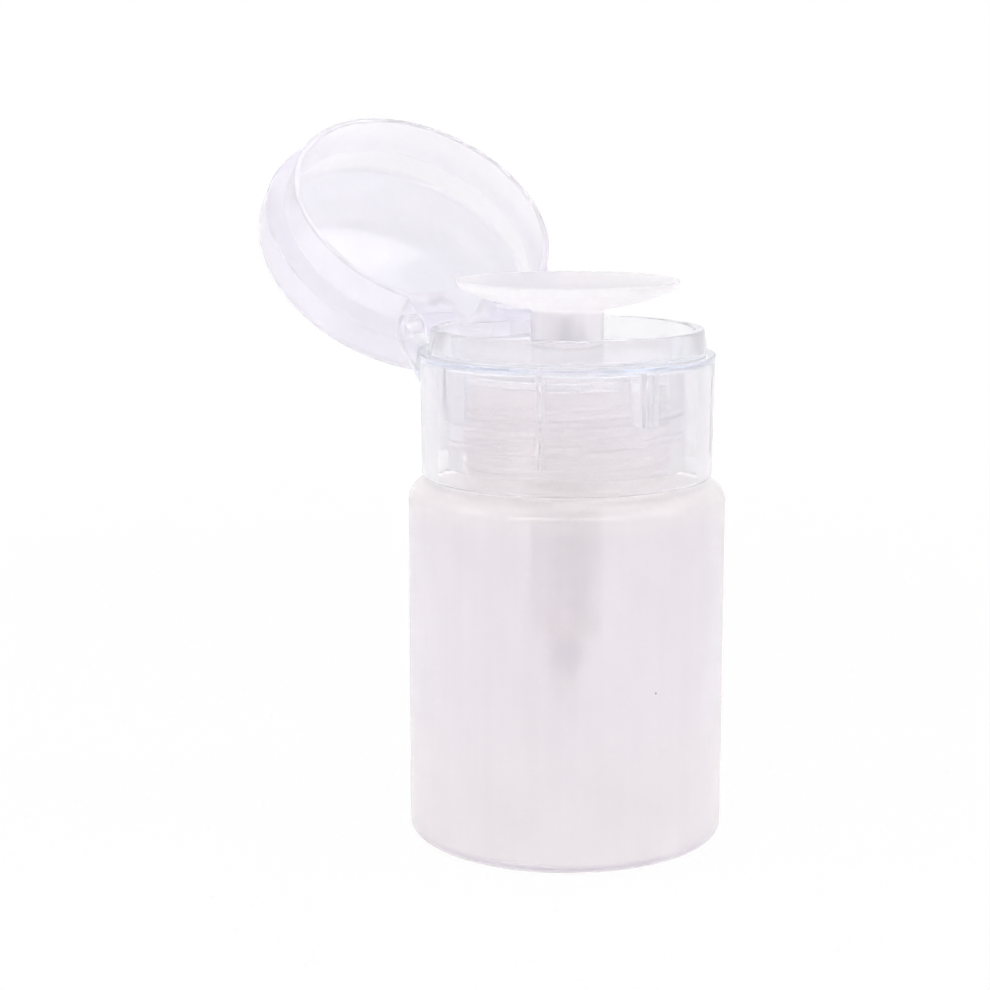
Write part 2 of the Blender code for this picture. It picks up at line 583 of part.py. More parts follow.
def make_dish(surface, guide):
    under = dish_sweep(DISH_WALL, HUB_RADIUS + HUB_FILLET, DISH_RADIUS - DISH_LIP)
    hole_radius = STEM_RADIUS + RUNNING_GAP
    outline = [(HUB_BORE_RADIUS, HUB_BOTTOM), (HUB_RADIUS, HUB_BOTTOM),
               (HUB_RADIUS, under[0][1] - HUB_FILLET)]
    outline += under
    outline += [(DISH_RADIUS, DISH_TOP - DISH_LIP), (DISH_RADIUS, DISH_TOP)]
    outline += dish_sweep(0, DISH_RADIUS - DISH_LIP, DISH_FLOOR_RADIUS)
    outline += [(hole_radius, DISH_FLOOR), (hole_radius, HUB_CEILING), (HUB_BORE_RADIUS, HUB_CEILING)]
    carry(turned("dish", outline, surface, LARGE_STEPS, Vector((0, 0, DISH_BASE))), guide)


def make_outlet_cap(surface, guide):
    """A low dome over the outlet, on crossed fins that reach into the stem and keep the ball in."""
    bottom = DISH_FLOOR + SEAT_GAP
    top = bottom + CAP_THICKNESS
    outline = [(0, bottom), (CAP_RADIUS, bottom), (CAP_RADIUS, top - CAP_DOME),
               (CAP_RADIUS - CAP_DOME, top), (CAP_RADIUS / 2, top + CAP_DOME), (0, top + CAP_DOME)]
    cap = turned("outlet_cap", outline, surface, SMALL_STEPS, Vector((0, 0, bottom)))
    fin_reach = STEM_TOP_BORE_RADIUS - SEAT_GAP
    half = CAP_FIN_THICKNESS / 2
    for reach_x, reach_y in ((fin_reach, half), (half, fin_reach)):
        fin = block("fin", (-reach_x, -reach_y, CAP_PLUG_BOTTOM), (reach_x, reach_y, bottom + CAP_DOME))
        combine(cap, fin, "UNION")
    carry(cap, guide)


def make_ball(name, radius, height, surface, guide):
    shape = bmesh.new()
    bmesh.ops.create_uvsphere(shape, u_segments=BALL_SEGMENTS, v_segments=BALL_RINGS, radius=radius,
                              matrix=Matrix.Translation((0, 0, height)))
    carry(add_object(name, shape, surface, Vector((0, 0, height))), guide)


def make_stem(surface, guide):
    cone_top = STEM_SEAT + STEM_TOP_BORE_RADIUS - STEM_SEAT_RADIUS
    outline = [(STEM_BORE_RADIUS, STEM_BOTTOM), (STEM_RADIUS, STEM_BOTTOM), (STEM_RADIUS, BEAD_BOTTOM),
               (STEM_BEAD_RADIUS, BEAD_BOTTOM), (STEM_BEAD_RADIUS, BEAD_TOP), (STEM_RADIUS, BEAD_TOP),
               (STEM_RADIUS, STEM_TOP), (STEM_TOP_BORE_RADIUS, STEM_TOP), (STEM_TOP_BORE_RADIUS, cone_top),
               (STEM_SEAT_RADIUS, STEM_SEAT), (STEM_SEAT_RADIUS, STEM_SEAT - STEM_SEAT_LENGTH),
               (STEM_BORE_RADIUS, STEM_SEAT - STEM_SEAT_LENGTH)]
    carry(turned("pump_stem", outline, surface, SMALL_STEPS, Vector((0, 0, STEM_BOTTOM))), guide)


def make_piston(core_surface, cup_surface, guide):
    """The hollow core that plugs into the stem, and the lipped cup that it holds there."""
    shank_top = CORE_HEAD_TOP + CORE_SHANK_LENGTH
    spigot_bottom = CORE_HEAD_BOTTOM - CORE_SPIGOT_LENGTH
    core = [(CORE_BORE_RADIUS, spigot_bottom), (CORE_SPIGOT_RADIUS, spigot_bottom),
            (CORE_SPIGOT_RADIUS, CORE_HEAD_BOTTOM), (CORE_HEAD_RADIUS, CORE_HEAD_BOTTOM),
            (CORE_HEAD_RADIUS, CORE_HEAD_TOP), (CORE_SHANK_RADIUS, CORE_HEAD_TOP),
            (CORE_SHANK_RADIUS, shank_top), (CORE_BORE_RADIUS, shank_top)]
    carry(turned("piston_core", core, core_surface, SMALL_STEPS, Vector((0, 0, CORE_HEAD_BOTTOM))), guide)
    inner = STEM_RADIUS + RUNNING_GAP
    outer = BARREL_BORE_RADIUS - RUNNING_GAP
    bottom = CORE_HEAD_TOP + SEAT_GAP
    top = BEAD_BOTTOM - SEAT_GAP
    middle = (inner + outer) / 2
    lip_inner = outer - PISTON_LIP_WALL
    cup = [(inner, bottom), (lip_inner, bottom), (lip_inner, bottom + PISTON_GROOVE_DEPTH),
           (outer, bottom + PISTON_GROOVE_DEPTH), (outer, top), (lip_inner, top),
           (middle, top - PISTON_GROOVE_DEPTH), (inner + PISTON_LIP_WALL, top), (inner, top)]
    carry(turned("piston_cup", cup, cup_surface, SMALL_STEPS, Vector((0, 0, bottom))), guide)


def make_housing(surface, guide):
    cup_outer = CUP_BORE_RADIUS + CUP_WALL
    barrel_outer = BARREL_BORE_RADIUS + BARREL_WALL
    chamber_outer = CHAMBER_BORE_RADIUS + CHAMBER_WALL
    socket_radius = TUBE_RADIUS + RUNNING_GAP
    nipple_bottom = CHAMBER_BOTTOM - NIPPLE_LENGTH
    cone_top = SUCTION_SEAT + CHAMBER_BORE_RADIUS - SEAT_HOLE_RADIUS
    outline = [(CUP_BORE_RADIUS, FLANGE_TOP), (CUP_BORE_RADIUS, CUP_FLOOR), (BARREL_BORE_RADIUS, CUP_FLOOR),
               (BARREL_BORE_RADIUS, BARREL_FLOOR), (CHAMBER_BORE_RADIUS, BARREL_FLOOR),
               (CHAMBER_BORE_RADIUS, cone_top), (SEAT_HOLE_RADIUS, SUCTION_SEAT),
               (SEAT_HOLE_RADIUS, CHAMBER_BOTTOM), (socket_radius, CHAMBER_BOTTOM),
               (socket_radius, nipple_bottom), (NIPPLE_RADIUS - NIPPLE_TAPER, nipple_bottom),
               (NIPPLE_RADIUS, CHAMBER_BOTTOM), (chamber_outer, CHAMBER_BOTTOM + CHAMBER_WALL),
               (chamber_outer, BARREL_BOTTOM),
               (barrel_outer - CHAMBER_WALL, BARREL_BOTTOM), (barrel_outer, BARREL_BOTTOM + CHAMBER_WALL),
               (barrel_outer, CUP_FLOOR - CUP_WALL - CUP_TAPER), (cup_outer, CUP_FLOOR - CUP_WALL),
               (cup_outer, FLANGE_BOTTOM), (FLANGE_RADIUS, FLANGE_BOTTOM), (FLANGE_RADIUS, FLANGE_TOP)]
    carry(turned("pump_housing", outline, surface, SMALL_STEPS, Vector((0, 0, FLANGE_BOTTOM))), guide)


def make_bush(surface, guide):
    inner = STEM_RADIUS + RUNNING_GAP
    base_outer = CUP_BORE_RADIUS - RUNNING_GAP
    outline = [(inner, BUSH_BOTTOM), (base_outer, BUSH_BOTTOM), (base_outer, BUSH_BASE_TOP),
               (BUSH_TUBE_RADIUS, BUSH_BASE_TOP), (BUSH_TUBE_RADIUS, BUSH_TOP), (inner, BUSH_TOP)]
    carry(turned("retaining_bush", outline, surface, SMALL_STEPS, Vector((0, 0, BUSH_BOTTOM))), guide)


def make_stem_seal(surface, guide):
    inner = STEM_RADIUS + RUNNING_GAP
    outer = BARREL_BORE_RADIUS - RUNNING_GAP
    groove = ((inner + outer) / 2, SEAL_TOP - SEAL_THICKNESS / 2)
    outline = [(inner, SEAL_BOTTOM), (outer, SEAL_BOTTOM), (outer, SEAL_TOP), groove, (inner, SEAL_TOP)]
    carry(turned("stem_seal", outline, surface, SMALL_STEPS, Vector((0, 0, SEAL_BOTTOM))), guide)


def make_gasket(surface, guide):
    top = GASKET_BOTTOM + GASKET_THICKNESS
    outline = [(NECK_BORE_RADIUS, GASKET_BOTTOM), (FLANGE_RADIUS, GASKET_BOTTOM), (FLANGE_RADIUS, top),
               (NECK_BORE_RADIUS, top)]
    carry(turned("neck_gasket", outline, surface, LARGE_STEPS, Vector((0, 0, GASKET_BOTTOM))), guide)


def make_spring_seat(surface, guide):
    skirt_outer = CHAMBER_BORE_RADIUS - RUNNING_GAP
    skirt_inner = skirt_outer - CAGE_WALL
    ring_outer = BARREL_BORE_RADIUS - RUNNING_GAP
    outline = [(skirt_inner, CAGE_SKIRT_BOTTOM), (skirt_outer, CAGE_SKIRT_BOTTOM), (skirt_outer, CAGE_BOTTOM),
               (ring_outer, CAGE_BOTTOM), (ring_outer, SPRING_SEAT_TOP), (skirt_inner, SPRING_SEAT_TOP)]
    carry(turned("spring_seat", outline, surface, SMALL_STEPS, Vector((0, 0, CAGE_BOTTOM))), guide)


def print_least_gap(points):
    """Print how near the wire comes to its own other turns."""
    apart = SPRING_POINTS_PER_TURN // 2
    gaps = [(points[first] - points[second]).length - 2 * SPRING_WIRE_RADIUS
            for first in range(len(points)) for second in range(first + apart, len(points))]
    print("return_spring, least gap to itself in metres:", round(min(gaps), 5))


def make_spring(surface, guide):
    bottom = SPRING_SEAT_TOP + SEAT_GAP + SPRING_WIRE_RADIUS
    top = CORE_HEAD_BOTTOM - SEAT_GAP - SPRING_WIRE_RADIUS
    count = SPRING_TURNS * SPRING_POINTS_PER_TURN
    path = bpy.data.curves.new("return_spring", "CURVE")
    path.dimensions = "3D"
    path.bevel_depth = SPRING_WIRE_RADIUS
    path.bevel_resolution = 1
    path.use_fill_caps = True
    path.materials.append(surface)
    coil = path.splines.new("POLY")
    coil.points.add(count)
    for index, point in enumerate(coil.points):
        angle = math.tau * index / SPRING_POINTS_PER_TURN
        height = (top - bottom) * index / count
        point.co = (SPRING_RADIUS * math.cos(angle), SPRING_RADIUS * math.sin(angle), height, 1)
    print_least_gap([point.co.xyz for point in coil.points])
    spring = bpy.data.objects.new("return_spring", path)
    spring.location = (0, 0, bottom)
    bpy.context.collection.objects.link(spring)
    carry(spring, guide)


def make_dip_tube(surface, guide):
    bottom = BASE_THICKNESS + TUBE_FOOT_GAP
    top = CHAMBER_BOTTOM - SEAT_GAP
    outline = [(TUBE_BORE_RADIUS, bottom), (TUBE_RADIUS, bottom), (TUBE_RADIUS, top), (TUBE_BORE_RADIUS, top)]
    carry(turned("dip_tube", outline, surface, SMALL_STEPS, Vector((0, 0, bottom))), guide)


def main():
    clear_scene()
    frosted = finish("frosted_body", (0.80, 0.76, 0.81), 0.40, 0.85)
    clear = finish("clear_collar", (0.84, 0.81, 0.88), 0.18, 0.60)
    lid_surface = finish("clear_lid", (0.86, 0.82, 0.88), 0.15, 0.60)
    dish_surface = finish("clear_dish", (0.86, 0.82, 0.86), 0.20, 0.70)
    natural = finish("pump_plastic", (0.83, 0.80, 0.86), 0.30, 0.80)
    tube_surface = finish("clear_tube", (0.86, 0.84, 0.88), 0.20, 0.40)
    seal_surface = finish("seal_plastic", (0.88, 0.87, 0.88), 0.50)
    steel = finish("steel", (0.60, 0.60, 0.62), 0.25, 1.0, 1.0)

    pump_axis = frame("pump_axis", Vector((0, 0, FLANGE_BOTTOM)))
    collar_axis = frame("collar_axis", Vector((0, 0, SHOULDER_TOP)), pump_axis)
    lid_hinge = frame("lid_hinge", HINGE, collar_axis)
    plunger_axis = frame("plunger_axis", Vector((0, 0, DISH_BASE)), pump_axis)

    make_bottle(frosted)
    make_housing(natural, pump_axis)
    make_gasket(seal_surface, pump_axis)
    make_bush(natural, pump_axis)
    make_stem_seal(seal_surface, pump_axis)
    make_spring_seat(natural, pump_axis)
    make_ball("suction_ball", SUCTION_BALL_RADIUS, SUCTION_BALL_CENTRE, steel, pump_axis)
    make_spring(steel, pump_axis)
    make_dip_tube(tube_surface, pump_axis)
    make_collar(clear, collar_axis)
    make_dish(dish_surface, plunger_axis)
    make_outlet_cap(natural, plunger_axis)
    make_ball("outlet_ball", OUTLET_BALL_RADIUS, OUTLET_BALL_CENTRE, steel, plunger_axis)
    make_stem(natural, plunger_axis)
    make_piston(natural, seal_surface, plunger_axis)
    make_lid(lid_surface, lid_hinge)
    lid_hinge.rotation_euler = (-OPEN_ANGLE, 0, 0)


main()
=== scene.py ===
"""The looks of a push-down pump bottle with a flip lid, in milky and clear moulded plastic.

Metres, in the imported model's frame. Every node gets a finer shell with rounded edges, turned or cut from
the sizes named below, and a plastic or steel finish with flow streaks, grain and a slight tint.
"""
import json
import math

import bmesh
import bpy
from mathutils import Matrix, Vector


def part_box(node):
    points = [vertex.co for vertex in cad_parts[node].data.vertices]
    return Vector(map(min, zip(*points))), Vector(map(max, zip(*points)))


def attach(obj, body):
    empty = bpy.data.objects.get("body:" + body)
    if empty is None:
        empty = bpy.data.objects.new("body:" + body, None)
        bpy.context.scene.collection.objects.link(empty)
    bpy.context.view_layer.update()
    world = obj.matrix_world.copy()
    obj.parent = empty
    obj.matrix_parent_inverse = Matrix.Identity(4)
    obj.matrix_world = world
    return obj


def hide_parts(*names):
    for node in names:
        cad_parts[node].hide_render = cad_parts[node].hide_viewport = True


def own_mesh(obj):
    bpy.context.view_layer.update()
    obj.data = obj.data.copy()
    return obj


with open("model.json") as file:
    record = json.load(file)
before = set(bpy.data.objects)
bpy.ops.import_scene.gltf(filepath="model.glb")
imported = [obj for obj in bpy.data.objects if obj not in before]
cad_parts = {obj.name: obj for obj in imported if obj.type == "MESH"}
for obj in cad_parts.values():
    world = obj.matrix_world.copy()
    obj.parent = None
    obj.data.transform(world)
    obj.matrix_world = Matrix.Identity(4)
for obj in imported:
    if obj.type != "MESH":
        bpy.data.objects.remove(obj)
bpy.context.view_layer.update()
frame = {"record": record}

# Fineness: steps round a turn, roundings of edges, and the small reaches that keep cuts and joins clean
TURN_STEPS = 192
SMALL_TURN_STEPS = 96
ROUND_STEPS = 10
BROAD_STEPS = 16
BEVEL_STEPS = 2
SHARP_ANGLE = math.radians(40)
STRAIGHT_ANGLE = math.radians(12)
REACH_SHARE = 0.48
BROAD_ROUNDING = 0.0015
OVERRUN = 0.0010
SINK = 0.0002
EDGE = 0.00012
SOFT_EDGE = EDGE * 2
ROUND_EDGE = EDGE * 3
FULL_EDGE = EDGE * 4
WELD = 0.000002
HAIRLINE = 0.00002

# Bottle
BODY_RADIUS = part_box("bottle")[1].x
NECK_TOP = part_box("bottle")[1].z
BODY_WALL = 0.0010
SHOULDER_TOP = 0.0482
SHOULDER_RADIUS = 0.0030
SHOULDER_RISE = 0.0003
BASE_CORNER = 0.0018
BASE_THICKNESS = 0.0012
BASE_RECESS = 0.0004
BASE_PAD = 0.0060
BASE_RING = 0.0026
NECK_RADIUS = 0.0130
NECK_BORE = 0.0118
NECK_FILLET = 0.0006
NECK_EDGE = 0.0003
NECK_BEADS = (0.05105, 0.05265)
NECK_BEAD = 0.0004
BEAD_WIDTH = 0.0005

# Screw thread
PITCH = 0.003175
THREAD_DEPTH = 0.0009
THREAD_ROOT = 0.0013
THREAD_ROW = 0.00009
THREAD_LEAD_SHARE = 0.2
THREAD_CREST_SHARE = 0.35
NECK_THREAD_RISE = 0.00555
NECK_THREAD_START = SHOULDER_TOP + NECK_THREAD_RISE
NECK_TURNS = 2.0
COLLAR_TURNS = 2.5

# Collar
COLLAR_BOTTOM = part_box("screw_collar")[0].z
SEAT_GAP = 0.0002
DECK_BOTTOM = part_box("pump_housing")[1].z + SEAT_GAP
DECK_THICKNESS = 0.0010
LEDGE = DECK_BOTTOM + DECK_THICKNESS
RIM_HEIGHT = 0.0033
RIM_TOP = LEDGE + RIM_HEIGHT
LEDGE_LIP = 0.0001
LEDGE_FLARE = LEDGE_LIP * 5
COLLAR_TOP_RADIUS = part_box("screw_collar")[1].x - LEDGE_LIP
COLLAR_TAPER = 0.00025
COLLAR_BOTTOM_RADIUS = COLLAR_TOP_RADIUS - COLLAR_TAPER
COLLAR_WALL = 0.0011
COLLAR_CORNER = 0.0008
LEDGE_WIDTH = 0.0011
RIM_TAPER = 0.00035
RIM_WALL = 0.0012
RIM_RADIUS = COLLAR_TOP_RADIUS - LEDGE_WIDTH
RIM_TOP_RADIUS = RIM_RADIUS - RIM_TAPER
RIM_INNER_RADIUS = RIM_TOP_RADIUS - RIM_WALL
SKIRT_BORE = 0.0143
SKIRT_RADIUS = 0.0156
SKIRT_RISE = 0.0016
SKIRT_BOTTOM = COLLAR_BOTTOM + SKIRT_RISE
DECK_HOLE = 0.0052
RIB_COUNT = 8
FRONT_RIB = RIB_COUNT * 3 // 4
RIB_THICKNESS = 0.0007
LONG_RIB = 0.0120
SHORT_RIB = 0.0068
RIB_PAIR_SPACE = 0.0019

# Hinge
HINGE_OUT = 0.00236
HINGE_UP = 0.00148
HINGE = Vector((0, COLLAR_TOP_RADIUS + HINGE_OUT, LEDGE + HINGE_UP))
OPEN_ANGLE = math.radians(138)
PIN_RADIUS = 0.0010
PIN_BORE = 0.00107
EAR_RADIUS = 0.0023
EAR_INNER = 0.0102
EAR_OUTER = 0.0122
EAR_ROOT = 0.0143
EAR_SET_BACK = 0.0169
EAR_DROP = 0.0081
EAR_FOOT = LEDGE - EAR_DROP
EAR_STEP = EDGE * 2
BEAM_ROOT = 0.0165
BEAM_DEPTH = 0.0030
RIM_CHORD = 0.0153
RIM_CHORD_WALL = 0.0011
RIM_CHORD_DROP = EDGE * 4
ARM_INNER = 0.0032
ARM_OUTER = 0.0099
ARM_WALL = 0.0159
ARM_ROUND_END = 320
BARREL_RADIUS = 0.0023
STOP_REACH = 0.00305
STOP_DEPTH = 0.00075
STOP_GAP = 0.00015
HEEL_LOW = 0.0008
HEEL_HIGH = 0.0012

# Lid, as it lies when closed
LID_LIP = LEDGE + SEAT_GAP
LID_TUBE_HEIGHT = 0.0046
LID_STEP = LID_LIP + LID_TUBE_HEIGHT
LID_STEP_RISE = 0.0013
LID_SHELL_BOTTOM = LID_STEP + LID_STEP_RISE
LID_INNER_RISE = 0.0009
LID_TUBE_RADIUS = 0.0195
LID_TUBE_INNER = 0.01855
LID_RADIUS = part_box("flip_lid")[1].x
LID_WALL = 0.0013
LID_INNER_RADIUS = LID_RADIUS - LID_WALL
LID_TOP = 0.07752
LID_THICKNESS = 0.0011
LID_INNER_TOP = LID_TOP - LID_THICKNESS
LID_CORNER = 0.0030
LID_INNER_CORNER = 0.0009
LID_SLOT_HEIGHT = 0.0043
# The way from the lip to the top of the open lid, and where the inner face of its plate lies along it
LID_WAY = Vector((0, math.sin(OPEN_ANGLE), math.cos(OPEN_ANGLE)))
LID_PLATE = HINGE.dot(LID_WAY) + LID_INNER_TOP - HINGE.z

# Dish, hub and cap
DISH_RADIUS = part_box("dish")[1].x
DISH_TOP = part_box("dish")[1].z
DISH_SPHERE = 0.0345
DISH_WALL = 0.0009
DISH_LIP = 0.0005
DISH_CENTRE = DISH_TOP + math.sqrt(DISH_SPHERE**2 - DISH_RADIUS**2)
CAP_RADIUS = 0.0033
CAP_LOW, CAP_HIGH = (corner.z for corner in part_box("outlet_cap"))
FLOOR_RADIUS = 0.0036
DISH_FLOOR = DISH_CENTRE - math.sqrt(DISH_SPHERE**2 - FLOOR_RADIUS**2)
HUB_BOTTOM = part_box("dish")[0].z
HUB_RADIUS = 0.0048
HUB_BORE = 0.0037
HUB_CEILING = DISH_CENTRE - DISH_SPHERE - DISH_WALL
HUB_FILLET = EDGE * 5
CAP_CORNER = EDGE * 3
CAP_CROWN = EDGE * 6
FIN_HALF = EDGE * 3

# Pump
STEM_RADIUS = 0.0025
STEM_BORE = 0.0014
STEM_TOP_BORE = 0.0019
STEM_SEAT_RADIUS = 0.0010
STEM_SEAT_LENGTH = 0.0008
BEAD_RADIUS = 0.0032
BEAD_HEIGHT = 0.0006
FIT_GAP = 0.0001
CUP_BORE = 0.0056
CUP_WALL = 0.0010
CUP_TAPER = 0.0010
BARREL_BORE = 0.0039
BARREL_WALL = 0.0008
CHAMBER_BORE = 0.0019
CHAMBER_WALL = 0.0007
SEAT_HOLE = 0.0009
TUBE_BORE = 0.0008
TUBE_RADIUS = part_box("dip_tube")[1].x
FLANGE_THICKNESS = 0.0010
CUP_DEPTH = 0.0077
BARREL_LENGTH = 0.0286
BARREL_FLOOR_THICKNESS = 0.0010
CHAMBER_LENGTH = 0.0052
NIPPLE_WALL = 0.0006
NIPPLE_TAPER = 0.0002
BUSH_WALL = 0.0008
SEAT_RING = 0.0009
CAGE_WALL = 0.0005
STEM_FOOT = 0.0027
CORE_SPIGOT = 0.0020
CORE_SPIGOT_LENGTH = 0.0015
CORE_HEAD_HEIGHT = 0.0008
CORE_BORE = 0.0007
PISTON_LIP = 0.0004
PISTON_GROOVE = 0.0006
WIRE_RADIUS = 0.0003
SPRING_TURNS = 7
SPRING_POINTS = 32

# Camera and light
LENS = 82.19
CAMERA_AZIMUTH = math.radians(-34)
CAMERA_DISTANCE = 0.29634
CAMERA_HEIGHT = 0.09797
CAMERA_PITCH = math.radians(9.993)
CAMERA_YAW = math.radians(1.838)
IMAGE_SIDE = 36.0
LIGHT_AZIMUTH = math.radians(80)
LIGHT_ELEVATION = math.radians(30)
LIGHT_DISTANCE = 0.60
LIGHT_SIZE = (0.24, 0.24)
LIGHT_POWER = 0.26
LIGHT_TARGET = 0.045
STRIP_ELEVATION = math.radians(32)
STRIP_SIZE = (1.00, 0.035)
STRIP_POWER = 1.00
PANEL_PLACE = Vector((0.25786, 0.03711, 0.62125))
PANEL_TURN = (math.radians(28.22), math.radians(-10.17), math.radians(111.02))
PANEL_SIZE = (0.10, 0.10)
PANEL_POWER = 0.075
WORLD_LIGHT = 0.88
FLOOR_REACH = 3.0
FLOOR_GAP = 0.00002
FLOOR_COLOUR = (0.92, 0.92, 0.92, 1)
WHITE = (1, 1, 1, 1)
FLOOR_GLOW = 0.90
FLOOR_SHADE_START = 0.12
FLOOR_SHADE_END = 0.35
LIGHT_BOUNCES = 64
LIGHT_CLAMP = 200

# Finishes: pattern scales in features per metre, depths in metres
PLASTIC_IOR = 1.49
COAT_ROUGHNESS = 0.06
SPECK_SCALE = 150.0
SPECK_REACH = 0.03
SPECK_COLOUR = (0.45, 0.42, 0.45)
FLOW_SCALE = 1.0
FLOW_STRETCH = (900, 900, 12)
CLOUD_SCALE = 90.0
CLOUD_STRETCH = (1, 1, 0.5)
STREAK_DETAIL = 3.0
NOISE_DETAIL = 2.0
NOISE_LOW = 0.3
NOISE_HIGH = 0.7
MIX_COLOURS_IN = (6, 7)
MIX_COLOUR_OUT = 2
STREAK_TINT = (0.985, 0.983, 0.987)
CLOUD_TINT = (0.994, 0.990, 0.986)
GRAIN_SCALE = 3200.0
HAZE_LOW_SHARE = 0.9
SCRATCH_SCALE = 1.0
SCRATCH_STRETCH = (9000, 9000, 2500)
SCRATCH_DETAIL = 4.0
SCRATCH_DEPTH = 1e-6
STEEL_ROUGHNESS = (0.16, 0.34)
STEEL_PALE = (0.26, 0.29, 0.42)
STEEL_DARK = (0.18, 0.20, 0.32)


def mesh_object(name, shape):
    """Make an object from a bmesh, with smooth shading broken at real edges."""
    bmesh.ops.recalc_face_normals(shape, faces=shape.faces)
    mesh = bpy.data.meshes.new(name)
    shape.to_mesh(mesh)
    shape.free()
    mesh.shade_smooth()
    mesh.set_sharp_from_angle(angle=SHARP_ANGLE)
    item = bpy.data.objects.new(name, mesh)
    bpy.context.scene.collection.objects.link(item)
    return item


def rounded(corners, closed=True):
    """Outline points from corners of (radius, height, rounding), each real corner turned into an arc."""
    places = [Vector(corner[:2]) for corner in corners]
    points = []
    for index, corner in enumerate(corners):
        rounding = corner[2] if len(corner) > 2 else EDGE
        here = places[index]
        back = places[index - 1] - here
        ahead = places[(index + 1) % len(places)] - here
        at_end = not closed and index in (0, len(corners) - 1)
        if at_end or rounding == 0 or back.angle(ahead) > math.pi - STRAIGHT_ANGLE:
            points.append(tuple(here))
            continue
        half = back.angle(ahead) / 2
        reach = min(rounding / math.tan(half), back.length * REACH_SHARE, ahead.length * REACH_SHARE)
        radius = reach * math.tan(half)
        inward = (back.normalized() + ahead.normalized()).normalized()
        middle = here + inward * radius / math.sin(half)
        start = here + back.normalized() * reach - middle
        end = here + ahead.normalized() * reach - middle
        steps = BROAD_STEPS if rounding > BROAD_ROUNDING else ROUND_STEPS
        first = math.atan2(start.y, start.x)
        turn = (math.atan2(end.y, end.x) - first + math.pi) % math.tau - math.pi
        points += arc(middle, radius, math.degrees(first), math.degrees(first + turn), steps)
    return points


def revolve(name, outline, steps=TURN_STEPS, relief=None):
    """Turn a closed outline about Z; its points on the axis become the middles of end faces.

    A relief gives the reach that a point of the wall has beyond its radius, from its place and its turn.
    """
    shape = bmesh.new()
    rings = []
    for radius, height in outline:
        if radius == 0:
            rings.append([shape.verts.new((0, 0, height))] * steps)
            continue
        ring = []
        for step in range(steps):
            turn = math.tau * step / steps
            reach = radius + (relief(radius, height, step / steps) if relief else 0)
            ring.append(shape.verts.new((reach * math.cos(turn), reach * math.sin(turn), height)))
        rings.append(ring)
    for index, ring in enumerate(rings):
        following = rings[(index + 1) % len(rings)]
        for step in range(steps):
            side = (step + 1) % steps
            corners = (ring[step], ring[side], following[side], following[step])
            unique = list(dict.fromkeys(corners))
            if len(unique) > 2:
                shape.faces.new(unique)
    return mesh_object(name, shape)


def thread_rows(radius, low, high):
    """Close-set points up a wall, which carry a screw thread."""
    count = round((high - low) / THREAD_ROW)
    return [(radius, low + (high - low) * row / count, 0) for row in range(count + 1)]


def screw_relief(root_radius, depth, bottom, turns):
    """A screw ridge on the wall of one radius, which fades out at both ends."""
    def relief(radius, height, turn):
        if abs(radius - root_radius) > SINK / 2:
            return 0
        for lap in range(math.ceil(turns) + 1):
            along = turn + lap
            away = abs(height - bottom - PITCH * along) / (THREAD_ROOT / 2)
            if 0 < along < turns and away < 1:
                to_end = min(along, turns - along)
                grown = math.sin(math.pi / 2 * min(1, to_end / THREAD_LEAD_SHARE))
                flank = min(1, (1 - away) / (1 - THREAD_CREST_SHARE))
                return depth * grown * flank * flank * (3 - 2 * flank)
        return 0
    return relief


def soften(item, width):
    """Round an object's sharp edges."""
    edge = item.modifiers.new("edges", "BEVEL")
    edge.width = width
    edge.segments = BEVEL_STEPS
    edge.limit_method = "ANGLE"
    edge.angle_limit = SHARP_ANGLE
    apply_modifier(item)


def apply_modifier(item):
    """Put an object's modifiers into its mesh."""
    bpy.context.view_layer.update()
    mesh = bpy.data.meshes.new_from_object(item.evaluated_get(bpy.context.evaluated_depsgraph_get()))
    item.modifiers.clear()
    item.data = mesh
    mesh.name = item.name
    mesh.shade_smooth()
    mesh.set_sharp_from_angle(angle=SHARP_ANGLE)


def combine(body, tool, operation):
    """Join a tool to a body or cut it away, and drop the tool."""
    change = body.modifiers.new("change", "BOOLEAN")
    change.operation = operation
    change.solver = "MANIFOLD"
    change.object = tool
    apply_modifier(body)
    bpy.data.objects.remove(tool, do_unlink=True)


def weld(item):
    """Close the hairline slivers that joining and cutting leave."""
    shape = bmesh.new()
    shape.from_mesh(item.data)
    bmesh.ops.remove_doubles(shape, verts=shape.verts, dist=WELD)
    bmesh.ops.dissolve_degenerate(shape, edges=shape.edges, dist=WELD)
    shape.to_mesh(item.data)
    shape.free()


def prism(name, outline, low, high, rounding=0.0):
    """Extrude an outline of (y, z) points along X."""
    shape = bmesh.new()
    face = shape.faces.new([shape.verts.new((low, y, z)) for y, z in outline])
    grown = bmesh.ops.extrude_face_region(shape, geom=[face])
    moved = [item for item in grown["geom"] if isinstance(item, bmesh.types.BMVert)]
    bmesh.ops.translate(shape, verts=moved, vec=(high - low, 0, 0))
    item = mesh_object(name, shape)
    if rounding:
        soften(item, rounding)
    return item


def block(name, low, high, rounding=0.0):
    """A box between two corners, as a tool for joining or cutting."""
    outline = [(low[1], low[2]), (high[1], low[2]), (high[1], high[2]), (low[1], high[2])]
    return prism(name, outline, low[0], high[0], rounding)


def pin_along_x(name, radius, low, high, rounding=0.0):
    """A round pin on the hinge's axis."""
    outline = arc((HINGE.y, HINGE.z), radius, 0, 360, SMALL_TURN_STEPS // 2)[:-1]
    return prism(name, outline, low, high, rounding)


def arc(centre, radius, start, end, steps):
    """Points on an arc, from the start angle to the end angle, in degrees."""
    angles = [math.radians(start + (end - start) * step / steps) for step in range(steps + 1)]
    return [(centre[0] + radius * math.cos(angle), centre[1] + radius * math.sin(angle)) for angle in angles]


